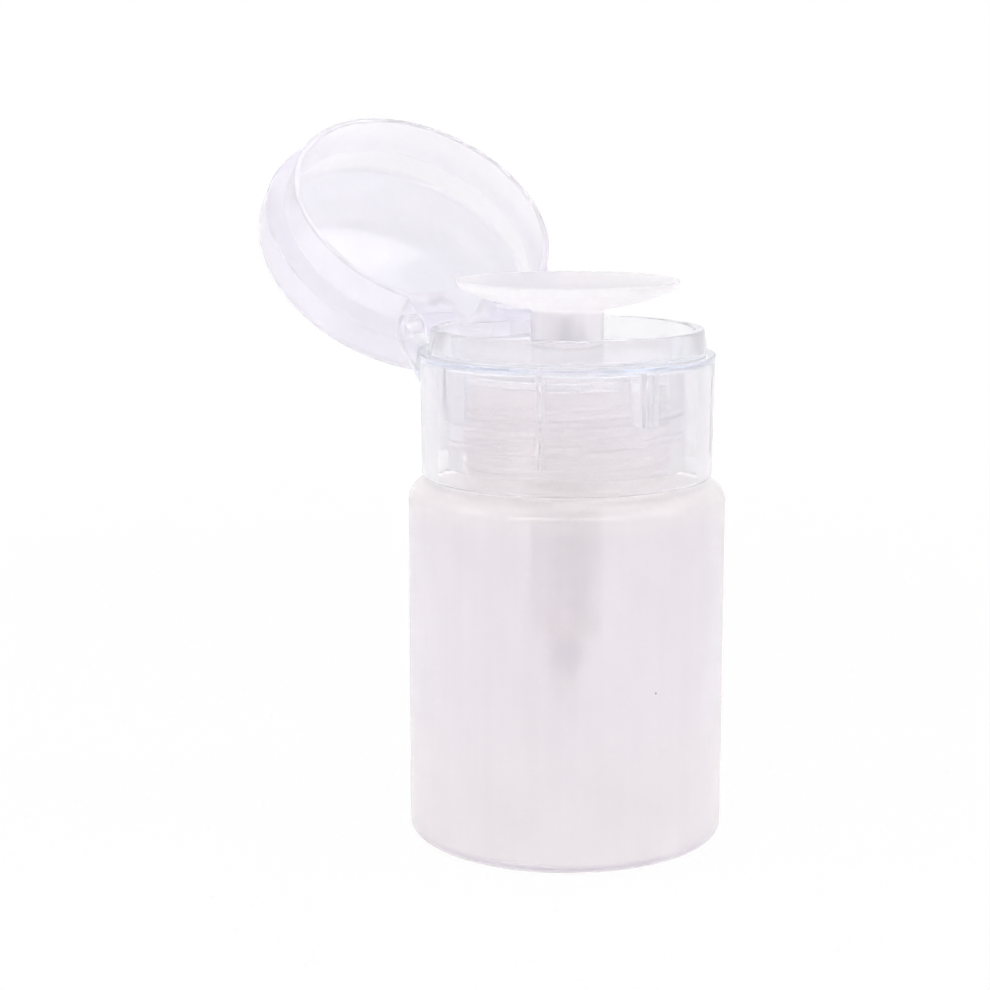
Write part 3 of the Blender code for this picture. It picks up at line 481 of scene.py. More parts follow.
def opened(reach, rise):
    """Where a point of the closed lid, given from the hinge axis, lies in (y, z) once it is open."""
    cosine = math.cos(OPEN_ANGLE)
    sine = math.sin(OPEN_ANGLE)
    return (HINGE.y + reach * cosine + rise * sine, HINGE.z - reach * sine + rise * cosine)


def sphere_sweep(depth, start_radius, end_radius, steps):
    """Points on the dish's round sweep, a given depth behind its upper face."""
    points = []
    for step in range(steps + 1):
        radius = start_radius + (end_radius - start_radius) * step / steps
        points.append((radius, DISH_CENTRE - math.sqrt((DISH_SPHERE + depth)**2 - radius**2)))
    return points


def dress(item, node):
    """Let a fine piece stand for a node: it takes the node's slot, finish and body."""
    record = frame["record"]
    slot = next(part["material_slot"] for part in record["subparts"] if part["node"] == node)
    body = next(name for name, members in record["behaviour"]["bodies"].items() if node in members)
    item.data.materials.clear()
    item.data.materials.append(finishes[slot])
    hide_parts(node)
    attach(item, body)
    return item


def neck_beads():
    """Two low rings round the root of the neck, under the thread."""
    corners = []
    for height in NECK_BEADS:
        corners += [(NECK_RADIUS, height - BEAD_WIDTH), (NECK_RADIUS + NECK_BEAD, height - BEAD_WIDTH / 2),
                    (NECK_RADIUS + NECK_BEAD, height + BEAD_WIDTH / 2), (NECK_RADIUS, height + BEAD_WIDTH)]
    return corners


def make_bottle():
    """The blown body with its base, shoulder, beaded and threaded neck, and an even wall inside."""
    inner = BODY_RADIUS - BODY_WALL
    ring_inner = BODY_RADIUS - BASE_CORNER - BASE_RING
    root = SHOULDER_TOP + SHOULDER_RISE
    corners = [(0, 0), (BASE_PAD, 0, SOFT_EDGE), (BASE_PAD + BASE_RECESS, BASE_RECESS, SOFT_EDGE),
               (ring_inner - BASE_RECESS, BASE_RECESS, SOFT_EDGE), (ring_inner, 0, SOFT_EDGE),
               (BODY_RADIUS, 0, BASE_CORNER), (BODY_RADIUS, SHOULDER_TOP, SHOULDER_RADIUS),
               (NECK_RADIUS, root, NECK_FILLET), *neck_beads(),
               *thread_rows(NECK_RADIUS, NECK_THREAD_START - THREAD_ROOT, NECK_TOP - NECK_EDGE * 2),
               (NECK_RADIUS, NECK_TOP, NECK_EDGE),
               (NECK_BORE, NECK_TOP), (NECK_BORE, root - BODY_WALL, NECK_FILLET),
               (inner, SHOULDER_TOP - BODY_WALL, SHOULDER_RADIUS - BODY_WALL),
               (inner, BASE_THICKNESS, BASE_CORNER), (0, BASE_THICKNESS)]
    thread = screw_relief(NECK_RADIUS, THREAD_DEPTH, NECK_THREAD_START, NECK_TURNS)
    dress(revolve("bottle_shell", rounded(corners, closed=False), relief=thread), "bottle")


def collar_wall():
    """Section of the collar: outer wall, ledge, rim, deck and threaded skirt."""
    inner_top = COLLAR_TOP_RADIUS - COLLAR_WALL
    inner_bottom = COLLAR_BOTTOM_RADIUS - COLLAR_WALL
    corners = [(inner_bottom, COLLAR_BOTTOM, SOFT_EDGE), (COLLAR_BOTTOM_RADIUS, COLLAR_BOTTOM, COLLAR_CORNER),
               (COLLAR_TOP_RADIUS, LEDGE - LEDGE_FLARE), (COLLAR_TOP_RADIUS + LEDGE_LIP, LEDGE - LEDGE_LIP),
               (COLLAR_TOP_RADIUS - LEDGE_LIP, LEDGE), (RIM_RADIUS, LEDGE),
               (RIM_TOP_RADIUS, RIM_TOP, ROUND_EDGE), (RIM_INNER_RADIUS, RIM_TOP, ROUND_EDGE),
               (RIM_INNER_RADIUS, LEDGE, ROUND_EDGE), (DECK_HOLE, LEDGE, SOFT_EDGE),
               (DECK_HOLE, DECK_BOTTOM, SOFT_EDGE), (SKIRT_BORE, DECK_BOTTOM, SOFT_EDGE),
               *reversed(thread_rows(SKIRT_BORE, SKIRT_BOTTOM + ROUND_EDGE, DECK_BOTTOM - THREAD_ROOT)),
               (SKIRT_BORE, SKIRT_BOTTOM, SOFT_EDGE),
               (SKIRT_RADIUS, SKIRT_BOTTOM, SOFT_EDGE), (SKIRT_RADIUS, DECK_BOTTOM, ROUND_EDGE),
               (inner_top, DECK_BOTTOM, ROUND_EDGE)]
    return rounded(corners)


def add_ribs(collar):
    """Thin walls between the skirt and the shell: long and short in turn, and a short pair at the front."""
    inner = SKIRT_RADIUS - SKIRT_BORE
    low = SKIRT_RADIUS - inner / 2
    high = COLLAR_TOP_RADIUS - COLLAR_WALL / 2
    for index in range(RIB_COUNT):
        length = LONG_RIB if index % 2 else SHORT_RIB
        places = (-RIB_PAIR_SPACE / 2, RIB_PAIR_SPACE / 2) if index == FRONT_RIB else (0,)
        for place in places:
            rib = block("rib", (low, place - RIB_THICKNESS / 2, DECK_BOTTOM - length),
                        (high, place + RIB_THICKNESS / 2, DECK_BOTTOM + SINK), EDGE)
            rib.data.transform(Matrix.Rotation(math.tau * index / RIB_COUNT, 4, "Z"))
            combine(collar, rib, "UNION")


def ear_outline():
    """Side view of a hinge ear: round about the pin, and straight down to the collar's wall."""
    rise = HINGE.z - EAR_FOOT
    run = HINGE.y - EAR_ROOT
    tangent = math.degrees(math.atan2(rise, run) - math.asin(EAR_RADIUS / math.hypot(rise, run)))
    outline = [(EAR_ROOT, EAR_FOOT)] + arc((HINGE.y, HINGE.z), EAR_RADIUS, tangent - 90, 180, BROAD_STEPS * 2)
    outline += [(EAR_SET_BACK, LEDGE + EAR_STEP), (EAR_SET_BACK, LEDGE - SINK)]
    return outline + [(EAR_ROOT, LEDGE - SINK)]


def add_hinge(collar):
    """A flattened rim where the lid's arms come down, two ears with pin bores, and the stop beam."""
    chord_end = math.sqrt(RIM_TOP_RADIUS**2 - RIM_CHORD**2)
    combine(collar, block("rim_cut", (-RIM_RADIUS, RIM_CHORD, LEDGE),
                          (RIM_RADIUS, HINGE.y, RIM_TOP + OVERRUN)), "DIFFERENCE")
    combine(collar, block("rim_chord", (-chord_end, RIM_CHORD - RIM_CHORD_WALL, LEDGE - SINK),
                          (chord_end, RIM_CHORD, RIM_TOP - RIM_CHORD_DROP), EDGE), "UNION")
    stop_low = opened(STOP_REACH, -STOP_DEPTH)
    stop_high = opened(STOP_REACH, 0)
    beam_bottom = stop_high[1] - BEAM_DEPTH
    beam = [(BEAM_ROOT, LEDGE - SINK), stop_low, stop_high, (stop_high[0], beam_bottom),
            (BEAM_ROOT, beam_bottom - stop_high[0] + BEAM_ROOT)]
    combine(collar, prism("beam", beam, -EAR_INNER - SINK, EAR_INNER + SINK), "UNION")
    far = HINGE.y + EAR_RADIUS
    above = LEDGE + OVERRUN
    cut = [(y, z + HAIRLINE) for y, z in (stop_low, stop_high, (far, stop_high[1]))]
    cut += [(far, above), (stop_low[0], above)]
    combine(collar, prism("stop_cut", cut, -EAR_INNER, EAR_INNER), "DIFFERENCE")
    for side in (-1, 1):
        faces = sorted((side * EAR_INNER, side * EAR_OUTER))
        combine(collar, prism("ear", ear_outline(), *faces, EDGE), "UNION")
        combine(collar, pin_along_x("bore", PIN_BORE, faces[0] - OVERRUN, faces[1] + OVERRUN), "DIFFERENCE")


def make_collar():
    thread = screw_relief(SKIRT_BORE, -THREAD_DEPTH, NECK_THREAD_START - PITCH / 2, COLLAR_TURNS)
    collar = revolve("collar_shell", collar_wall(), relief=thread)
    add_ribs(collar)
    add_hinge(collar)
    weld(collar)
    dress(collar, "screw_collar")


def lid_wall():
    """Section of the closed lid: plate, wide upper wall and narrower lower wall."""
    corners = [(0, LID_INNER_TOP), (LID_INNER_RADIUS, LID_INNER_TOP, LID_INNER_CORNER),
               (LID_INNER_RADIUS, LID_SHELL_BOTTOM + LID_INNER_RISE, ROUND_EDGE),
               (LID_TUBE_INNER, LID_SHELL_BOTTOM, ROUND_EDGE), (LID_TUBE_INNER, LID_LIP, SOFT_EDGE),
               (LID_TUBE_RADIUS, LID_LIP, SOFT_EDGE), (LID_TUBE_RADIUS, LID_STEP, ROUND_EDGE),
               (LID_RADIUS, LID_SHELL_BOTTOM, FULL_EDGE), (LID_RADIUS, LID_TOP, LID_CORNER), (0, LID_TOP)]
    return rounded(corners, closed=False)


def arm_outline():
    """Side view of a hinge arm on the closed lid: inner wall, barrel, and a heel that meets the stop."""
    shelf = LID_SHELL_BOTTOM + LID_INNER_RISE / 2
    heel = HINGE.y + STOP_REACH - STOP_GAP
    under = 180 + math.degrees(math.asin((HINGE.z - LID_LIP) / BARREL_RADIUS))
    outline = [(ARM_WALL, LID_LIP)]
    outline += arc((HINGE.y, HINGE.z), BARREL_RADIUS, under, ARM_ROUND_END, BROAD_STEPS)
    return outline + [(heel, HINGE.z - HEEL_LOW), (heel, HINGE.z + HEEL_HIGH),
                      ((LID_RADIUS + LID_INNER_RADIUS) / 2, shelf), (ARM_WALL, shelf)]


def make_lid():
    lid = revolve("lid_shell", lid_wall())
    for side in (-1, 1):
        faces = sorted((side * ARM_INNER, side * ARM_OUTER))
        combine(lid, prism("arm", arm_outline(), *faces, EDGE), "UNION")
        ends = sorted((side * (ARM_OUTER - OVERRUN), side * (EAR_OUTER - SINK)))
        combine(lid, pin_along_x("trunnion", PIN_RADIUS, *ends, EDGE), "UNION")
    slot_half = ARM_INNER - HAIRLINE
    combine(lid, block("slot", (-slot_half, ARM_WALL - OVERRUN, LID_LIP - OVERRUN),
                       (slot_half, LID_RADIUS + OVERRUN, LID_LIP + LID_SLOT_HEIGHT)), "DIFFERENCE")
    swing = Matrix.Translation(HINGE) @ Matrix.Rotation(-OPEN_ANGLE, 4, "X") @ Matrix.Translation(-HINGE)
    lid.data.transform(swing)
    weld(lid)
    dress(lid, "flip_lid")


def make_dish():
    """The shallow dish with its thin lip, hole for the stem, and hollow hub below."""
    hole = STEM_RADIUS + FIT_GAP
    under = sphere_sweep(DISH_WALL, HUB_RADIUS + HUB_FILLET, DISH_RADIUS - DISH_LIP, BROAD_STEPS)
    corners = [(HUB_BORE, HUB_BOTTOM, SOFT_EDGE), (HUB_RADIUS, HUB_BOTTOM, SOFT_EDGE)]
    corners += [(HUB_RADIUS, under[0][1] - EDGE, HUB_FILLET)] + under[1:]
    corners += [(DISH_RADIUS, DISH_TOP - DISH_LIP / 2, DISH_LIP / 3),
                (DISH_RADIUS - DISH_LIP / 2, DISH_TOP, DISH_LIP / 3)]
    corners += sphere_sweep(0, DISH_RADIUS - DISH_LIP, FLOOR_RADIUS, BROAD_STEPS)
    corners += [(hole, DISH_FLOOR), (hole, HUB_CEILING), (HUB_BORE, HUB_CEILING, SOFT_EDGE)]
    dress(revolve("dish_plate", rounded(corners)), "dish")


def make_outlet_cap():
    """A low dome over the outlet, on crossed fins that reach into the stem."""
    bottom = DISH_FLOOR + SINK
    corners = [(0, bottom), (CAP_RADIUS, bottom), (CAP_RADIUS, CAP_HIGH - CAP_CORNER, CAP_CORNER),
               (CAP_RADIUS / 2, CAP_HIGH, CAP_CROWN), (0, CAP_HIGH)]
    cap = revolve("cap_dome", rounded(corners, closed=False), SMALL_TURN_STEPS)
    reach = STEM_TOP_BORE - SINK
    for reach_x, reach_y in ((reach, FIN_HALF), (FIN_HALF, reach)):
        fin = block("fin", (-reach_x, -reach_y, CAP_LOW + HAIRLINE), (reach_x, reach_y, bottom + SINK))
        combine(cap, fin, "UNION")
    dress(cap, "outlet_cap")


def make_turned(node, corners, closed=True):
    """A turned piece of the pump, round about the axis, that stands for its node."""
    dress(revolve(node + "_turned", rounded(corners, closed), SMALL_TURN_STEPS), node)


def make_ball(node):
    """A steel ball in the middle of its node's box."""
    low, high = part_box(node)
    radius = (high.z - low.z) / 2
    middle = (high.z + low.z) / 2
    outline = [(radius * math.sin(math.pi * step / SMALL_TURN_STEPS),
                middle + radius * math.cos(math.pi * step / SMALL_TURN_STEPS))
               for step in range(1, SMALL_TURN_STEPS)]
    outline = [(0, middle + radius)] + outline + [(0, middle - radius)]
    dress(revolve(node + "_polished", outline, SMALL_TURN_STEPS), node)


def make_spring():
    """A wound wire that rises evenly from end to end of its node's box."""
    low, high = (corner.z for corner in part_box("return_spring"))
    bottom = low + WIRE_RADIUS
    rise = high - WIRE_RADIUS - bottom
    count = SPRING_TURNS * SPRING_POINTS
    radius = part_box("return_spring")[1].x - WIRE_RADIUS
    path = bpy.data.curves.new("spring_wire", "CURVE")
    path.dimensions = "3D"
    path.bevel_depth = WIRE_RADIUS
    path.bevel_resolution = ROUND_STEPS
    path.use_fill_caps = True
    coil = path.splines.new("POLY")
    coil.points.add(count)
    for index, point in enumerate(coil.points):
        angle = math.tau * index / SPRING_POINTS
        share = index / count
        point.co = (radius * math.cos(angle), radius * math.sin(angle), bottom + rise * share, 1)
    wire = bpy.data.objects.new("spring_wire", path)
    bpy.context.scene.collection.objects.link(wire)
    bpy.context.view_layer.update()
    mesh = bpy.data.meshes.new_from_object(wire.evaluated_get(bpy.context.evaluated_depsgraph_get()))
    bpy.data.objects.remove(wire, do_unlink=True)
    mesh.shade_smooth()
    mesh.set_sharp_from_angle(angle=SHARP_ANGLE)
    spring = bpy.data.objects.new("wound_spring", mesh)
    bpy.context.scene.collection.objects.link(spring)
    dress(spring, "return_spring")
    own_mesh(spring)


def make_housing():
    """The flanged cup, barrel, valve chamber and nipple that hang in the bottle."""
    low, high = (corner.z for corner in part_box("pump_housing"))
    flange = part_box("pump_housing")[1].x
    flange_bottom = high - FLANGE_THICKNESS
    cup_floor = high - CUP_DEPTH
    barrel_bottom = cup_floor - BARREL_LENGTH
    chamber_bottom = barrel_bottom - CHAMBER_LENGTH
    barrel_floor = barrel_bottom + BARREL_FLOOR_THICKNESS
    seat = chamber_bottom + CHAMBER_WALL
    chamber_outer = CHAMBER_BORE + CHAMBER_WALL
    barrel_outer = BARREL_BORE + BARREL_WALL
    cup_outer = CUP_BORE + CUP_WALL
    socket = TUBE_RADIUS + FIT_GAP
    nipple = socket + NIPPLE_WALL
    make_turned("pump_housing", [
        (CUP_BORE, high), (CUP_BORE, cup_floor), (BARREL_BORE, cup_floor), (BARREL_BORE, barrel_floor),
        (CHAMBER_BORE, barrel_floor), (CHAMBER_BORE, seat + CHAMBER_BORE - SEAT_HOLE), (SEAT_HOLE, seat),
        (SEAT_HOLE, chamber_bottom), (socket, chamber_bottom), (socket, low), (nipple - NIPPLE_TAPER, low),
        (nipple, chamber_bottom, SOFT_EDGE), (chamber_outer, chamber_bottom + CHAMBER_WALL, FULL_EDGE),
        (chamber_outer, barrel_bottom, SOFT_EDGE), (barrel_outer, barrel_bottom, CHAMBER_WALL),
        (barrel_outer, cup_floor - CUP_WALL - CUP_TAPER, FULL_EDGE),
        (cup_outer, cup_floor - CUP_WALL, FULL_EDGE), (cup_outer, flange_bottom, SOFT_EDGE),
        (flange, flange_bottom, SOFT_EDGE), (flange, high, SOFT_EDGE)])


def make_pump():
    """The turned pieces of the pump that ride on the collar's and the plunger's bodies."""
    inner = STEM_RADIUS + FIT_GAP
    outer = BARREL_BORE - FIT_GAP
    middle = (inner + outer) / 2

    low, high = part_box("neck_gasket")
    make_turned("neck_gasket", [(NECK_BORE, low.z), (high.x, low.z), (high.x, high.z), (NECK_BORE, high.z)])

    low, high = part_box("retaining_bush")
    tube = inner + BUSH_WALL
    base_top = low.z + BUSH_WALL
    make_turned("retaining_bush", [(inner, low.z), (high.x, low.z), (high.x, base_top), (tube, base_top),
                                   (tube, high.z), (inner, high.z)])

    low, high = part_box("stem_seal")
    make_turned("stem_seal", [(inner, low.z), (outer, low.z), (outer, high.z),
                              (middle, (low.z + high.z) / 2, SOFT_EDGE), (inner, high.z)])

    low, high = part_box("spring_seat")
    skirt = CHAMBER_BORE - FIT_GAP
    ring_bottom = high.z - SEAT_RING
    make_turned("spring_seat", [(skirt - CAGE_WALL, low.z), (skirt, low.z), (skirt, ring_bottom),
                                (high.x, ring_bottom), (high.x, high.z), (skirt - CAGE_WALL, high.z)])

    low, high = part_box("dip_tube")
    make_turned("dip_tube", [(TUBE_BORE, low.z), (TUBE_RADIUS, low.z), (TUBE_RADIUS, high.z),
                             (TUBE_BORE, high.z)])

    low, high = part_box("pump_stem")
    bead_bottom = low.z + STEM_FOOT
    bead_top = bead_bottom + BEAD_HEIGHT
    ball_low, ball_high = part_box("outlet_ball")
    seat_reach = (ball_high.z - ball_low.z) / 2 + FIT_GAP
    seat = (ball_high.z + ball_low.z) / 2 - seat_reach * math.sqrt(2) + STEM_SEAT_RADIUS
    make_turned("pump_stem", [
        (STEM_BORE, low.z), (STEM_RADIUS, low.z), (STEM_RADIUS, bead_bottom), (BEAD_RADIUS, bead_bottom),
        (BEAD_RADIUS, bead_top), (STEM_RADIUS, bead_top), (STEM_RADIUS, high.z), (STEM_TOP_BORE, high.z),
        (STEM_TOP_BORE, seat + STEM_TOP_BORE - STEM_SEAT_RADIUS), (STEM_SEAT_RADIUS, seat),
        (STEM_SEAT_RADIUS, seat - STEM_SEAT_LENGTH), (STEM_BORE, seat - STEM_SEAT_LENGTH)])

    low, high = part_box("piston_core")
    head_bottom = low.z + CORE_SPIGOT_LENGTH
    head_top = head_bottom + CORE_HEAD_HEIGHT
    shank = STEM_BORE - FIT_GAP
    make_turned("piston_core", [
        (CORE_BORE, low.z), (CORE_SPIGOT, low.z), (CORE_SPIGOT, head_bottom), (high.x, head_bottom),
        (high.x, head_top), (shank, head_top), (shank, high.z), (CORE_BORE, high.z)])

    low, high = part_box("piston_cup")
    lip = outer - PISTON_LIP
    make_turned("piston_cup", [
        (inner, low.z), (lip, low.z), (lip, low.z + PISTON_GROOVE), (outer, low.z + PISTON_GROOVE),
        (outer, high.z), (lip, high.z), (middle, high.z - PISTON_GROOVE, SOFT_EDGE),
        (inner + PISTON_LIP, high.z), (inner, high.z)])


def new_material(name):
    surface = bpy.data.materials.new(name)
    surface.use_nodes = True
    return surface, surface.node_tree, surface.node_tree.nodes["Principled BSDF"]


def noise(tree, scale, stretch=(1, 1, 1), detail=NOISE_DETAIL):
    """A noise pattern in the object's own space, with a scale in features per metre."""
    place = tree.nodes.new("ShaderNodeTexCoord")
    mapping = tree.nodes.new("ShaderNodeMapping")
    mapping.inputs["Scale"].default_value = stretch
    pattern = tree.nodes.new("ShaderNodeTexNoise")
    pattern.inputs["Scale"].default_value = scale
    pattern.inputs["Detail"].default_value = detail
    tree.links.new(place.outputs["Object"], mapping.inputs["Vector"])
    tree.links.new(mapping.outputs["Vector"], pattern.inputs["Vector"])
    return pattern.outputs["Fac"]


def spread(tree, value, low, high, start=NOISE_LOW, end=NOISE_HIGH):
    """Stretch a value, by default a noise, to lie between two numbers."""
    change = tree.nodes.new("ShaderNodeMapRange")
    change.inputs["From Min"].default_value = start
    change.inputs["From Max"].default_value = end
    change.inputs["To Min"].default_value = low
    change.inputs["To Max"].default_value = high
    tree.links.new(value, change.inputs["Value"])
    return change.outputs["Result"]


def reach_share(tree, way, start, end):
    """Nought before a start along a way and one after its end, with an even change between."""
    place = tree.nodes.new("ShaderNodeTexCoord")
    reach = tree.nodes.new("ShaderNodeVectorMath")
    reach.operation = "DOT_PRODUCT"
    tree.links.new(place.outputs["Object"], reach.inputs[0])
    reach.inputs[1].default_value = way
    return spread(tree, reach.outputs["Value"], 0, 1, start, end)


def speck_share(tree):
    """One in a few tiny grains trapped in the plastic, and none elsewhere."""
    place = tree.nodes.new("ShaderNodeTexCoord")
    cells = tree.nodes.new("ShaderNodeTexVoronoi")
    cells.inputs["Scale"].default_value = SPECK_SCALE
    tree.links.new(place.outputs["Object"], cells.inputs["Vector"])
    return spread(tree, cells.outputs["Distance"], 1, 0, SPECK_REACH / 2, SPECK_REACH)


def blend_numbers(tree, factor, first, second):
    """Move from one node's number to a plain one by a factor from a node."""
    mix = tree.nodes.new("ShaderNodeMix")
    tree.links.new(factor, mix.inputs["Factor"])
    tree.links.new(first, mix.inputs["A"])
    mix.inputs["B"].default_value = second
    return mix.outputs["Result"]


def blend_colours(tree, factor, first, second, how="MIX"):
    """Mix two colours, each a plain colour or another node's output, by a factor from a node."""
    mix = tree.nodes.new("ShaderNodeMix")
    mix.data_type = "RGBA"
    mix.blend_type = how
    tree.links.new(factor, mix.inputs["Factor"])
    for index, colour in zip(MIX_COLOURS_IN, (first, second)):
        if isinstance(colour, tuple):
            mix.inputs[index].default_value = (*colour, 1)
        else:
            tree.links.new(colour, mix.inputs[index])
    return mix.outputs[MIX_COLOUR_OUT]


def roughen(tree, shader, height, distance, under=None):
    """Add a bump of a given height in metres to a shader, over another bump if there is one."""
    bump = tree.nodes.new("ShaderNodeBump")
    bump.inputs["Distance"].default_value = distance
    tree.links.new(height, bump.inputs["Height"])
    if under is not None:
        tree.links.new(under, bump.inputs["Normal"])
    tree.links.new(bump.outputs["Normal"], shader.inputs["Normal"])
    return bump.outputs["Normal"]


def moulded(name, colour, haze, roughness, bumps, tint, density, coat=0.0, levels=(), way=(0, 0, 1),
            specks=False):
    """Moulded plastic: flow streaks, milky clouding, fine grain and a tint that deepens with thickness.

    Haze is the share of light that each surface scatters on its way through. Roughness goes from the
    first number to the second along the streaks, and the bumps are the depths of streaks and grain. Each
    level is a start and an end along the way, and the colour and roughness that take over between them.
    """
    surface, tree, shader = new_material(name)
    streaks = noise(tree, FLOW_SCALE, FLOW_STRETCH, STREAK_DETAIL)
    clouds = noise(tree, CLOUD_SCALE, CLOUD_STRETCH)
    blur = spread(tree, streaks, *roughness)
    for start, end, level_colour, level_roughness in levels:
        share = reach_share(tree, way, start, end)
        colour = blend_colours(tree, share, colour, level_colour)
        blur = blend_numbers(tree, share, blur, level_roughness)
    colour = blend_colours(tree, spread(tree, streaks, 0, 1), colour, STREAK_TINT, "MULTIPLY")
    colour = blend_colours(tree, spread(tree, clouds, 0, 1), colour, CLOUD_TINT, "MULTIPLY")
    if specks:
        colour = blend_colours(tree, speck_share(tree), colour, SPECK_COLOUR)
    tree.links.new(colour, shader.inputs["Base Color"])
    tree.links.new(blur, shader.inputs["Roughness"])
    shader.inputs["IOR"].default_value = PLASTIC_IOR
    shader.inputs["Transmission Weight"].default_value = 1.0
    shader.inputs["Coat Weight"].default_value = coat
    shader.inputs["Coat Roughness"].default_value = COAT_ROUGHNESS
    flow, grain = bumps
    waves = roughen(tree, shader, streaks, flow)
    roughen(tree, shader, noise(tree, GRAIN_SCALE), grain, under=waves)
    milk = tree.nodes.new("ShaderNodeBsdfTranslucent")
    tree.links.new(colour, milk.inputs["Color"])
    mix = tree.nodes.new("ShaderNodeMixShader")
    tree.links.new(spread(tree, clouds, haze * HAZE_LOW_SHARE, haze), mix.inputs["Fac"])
    tree.links.new(shader.outputs["BSDF"], mix.inputs[1])
    tree.links.new(milk.outputs["BSDF"], mix.inputs[2])
    tree.links.new(mix.outputs["Shader"], tree.nodes["Material Output"].inputs["Surface"])
    depth = tree.nodes.new("ShaderNodeVolumeAbsorption")
    depth.inputs["Color"].default_value = (*tint, 1)
    depth.inputs["Density"].default_value = density
    tree.links.new(depth.outputs["Volume"], tree.nodes["Material Output"].inputs["Volume"])
    return surface


def polished_steel(name):
    """Drawn or ground steel with fine scratches, paler and darker in turn."""
    surface, tree, shader = new_material(name)
    scratches = noise(tree, SCRATCH_SCALE, SCRATCH_STRETCH, SCRATCH_DETAIL)
    colour = blend_colours(tree, spread(tree, scratches, 0, 1), STEEL_PALE, STEEL_DARK)
    tree.links.new(colour, shader.inputs["Base Color"])
    shader.inputs["Metallic"].default_value = 1.0
    tree.links.new(spread(tree, scratches, *STEEL_ROUGHNESS), shader.inputs["Roughness"])
    roughen(tree, shader, scratches, SCRATCH_DEPTH)
    return surface


def seen_directly(tree):
    """One for camera, mirrored and refracted rays, and none for the rest."""
    path = tree.nodes.new("ShaderNodeLightPath")
    value = path.outputs["Is Camera Ray"]
    for other in ("Is Glossy Ray", "Is Transmission Ray"):
        larger = tree.nodes.new("ShaderNodeMath")
        larger.operation = "MAXIMUM"
        tree.links.new(value, larger.inputs[0])
        tree.links.new(path.outputs[other], larger.inputs[1])
        value = larger.outputs[0]
    return value


def make_world():
    """Soft light from all round, which looks white."""
    world = bpy.data.worlds.new("soft_white")
    bpy.context.scene.world = world
    world.use_nodes = True
    tree = world.node_tree
    background = tree.nodes["Background"]
    background.inputs["Color"].default_value = WHITE
    strength = spread(tree, seen_directly(tree), WORLD_LIGHT, 1.0, 0, 1)
    tree.links.new(strength, background.inputs["Strength"])


def make_floor():
    """A pale floor that looks white to the camera and keeps a faint shadow."""
    shape = bmesh.new()
    bmesh.ops.create_grid(shape, x_segments=1, y_segments=1, size=FLOOR_REACH)
    floor = mesh_object("floor", shape)
    floor.location.z = -FLOOR_GAP
    surface, tree, shader = new_material("pale_floor")
    shader.inputs["Base Color"].default_value = FLOOR_COLOUR
    shader.inputs["Roughness"].default_value = 1.0
    shader.inputs["Specular IOR Level"].default_value = 0.0
    glow = tree.nodes.new("ShaderNodeEmission")
    glow.inputs["Color"].default_value = WHITE
    mix = tree.nodes.new("ShaderNodeMixShader")
    place = tree.nodes.new("ShaderNodeTexCoord")
    reach = tree.nodes.new("ShaderNodeVectorMath")
    reach.operation = "LENGTH"
    tree.links.new(place.outputs["Object"], reach.inputs[0])
    glow_share = tree.nodes.new("ShaderNodeMath")
    glow_share.operation = "MULTIPLY"
    far = spread(tree, reach.outputs["Value"], FLOOR_GLOW, 1.0, FLOOR_SHADE_START, FLOOR_SHADE_END)
    tree.links.new(far, glow_share.inputs[0])
    tree.links.new(seen_directly(tree), glow_share.inputs[1])
    tree.links.new(glow_share.outputs[0], mix.inputs["Fac"])
    tree.links.new(shader.outputs["BSDF"], mix.inputs[1])
    tree.links.new(glow.outputs["Emission"], mix.inputs[2])
    tree.links.new(mix.outputs["Shader"], tree.nodes["Material Output"].inputs["Surface"])
    floor.data.materials.append(surface)


def make_panel(name, place, turn, size, power):
    """A rectangle of light."""
    lamp = bpy.data.lights.new(name, "AREA")
    lamp.shape = "RECTANGLE"
    lamp.size, lamp.size_y = size
    lamp.energy = power
    item = bpy.data.objects.new(name, lamp)
    item.location = place
    item.rotation_euler = turn
    bpy.context.scene.collection.objects.link(item)


def make_softbox(name, azimuth, elevation, distance, size, power):
    """A panel of light that looks at the middle of the bottle."""
    way = Vector((math.sin(azimuth) * math.cos(elevation), -math.cos(azimuth) * math.cos(elevation),
                  math.sin(elevation)))
    make_panel(name, way * distance + Vector((0, 0, LIGHT_TARGET)), way.to_track_quat("Z", "Y").to_euler(),
               size, power)


def make_camera():
    """The camera at the photograph's angle."""
    camera = bpy.data.cameras.new("camera")
    camera.lens = LENS
    camera.sensor_width = IMAGE_SIDE
    item = bpy.data.objects.new("camera", camera)
    item.location = (CAMERA_DISTANCE * math.sin(CAMERA_AZIMUTH), -CAMERA_DISTANCE * math.cos(CAMERA_AZIMUTH),
                     CAMERA_HEIGHT)
    item.rotation_euler = (math.pi / 2 - CAMERA_PITCH, 0, CAMERA_AZIMUTH + CAMERA_YAW)
    bpy.context.scene.collection.objects.link(item)
    bpy.context.scene.camera = item


def set_looks():
    """Plain colours, and light that reaches through many walls of clear plastic."""
    scene = bpy.context.scene
    scene.view_settings.view_transform = "Standard"
    scene.cycles.max_bounces = LIGHT_BOUNCES
    scene.cycles.transmission_bounces = LIGHT_BOUNCES
    scene.cycles.glossy_bounces = LIGHT_BOUNCES
    scene.cycles.diffuse_bounces = LIGHT_BOUNCES
    scene.cycles.blur_glossy = 0
    scene.cycles.sample_clamp_indirect = LIGHT_CLAMP
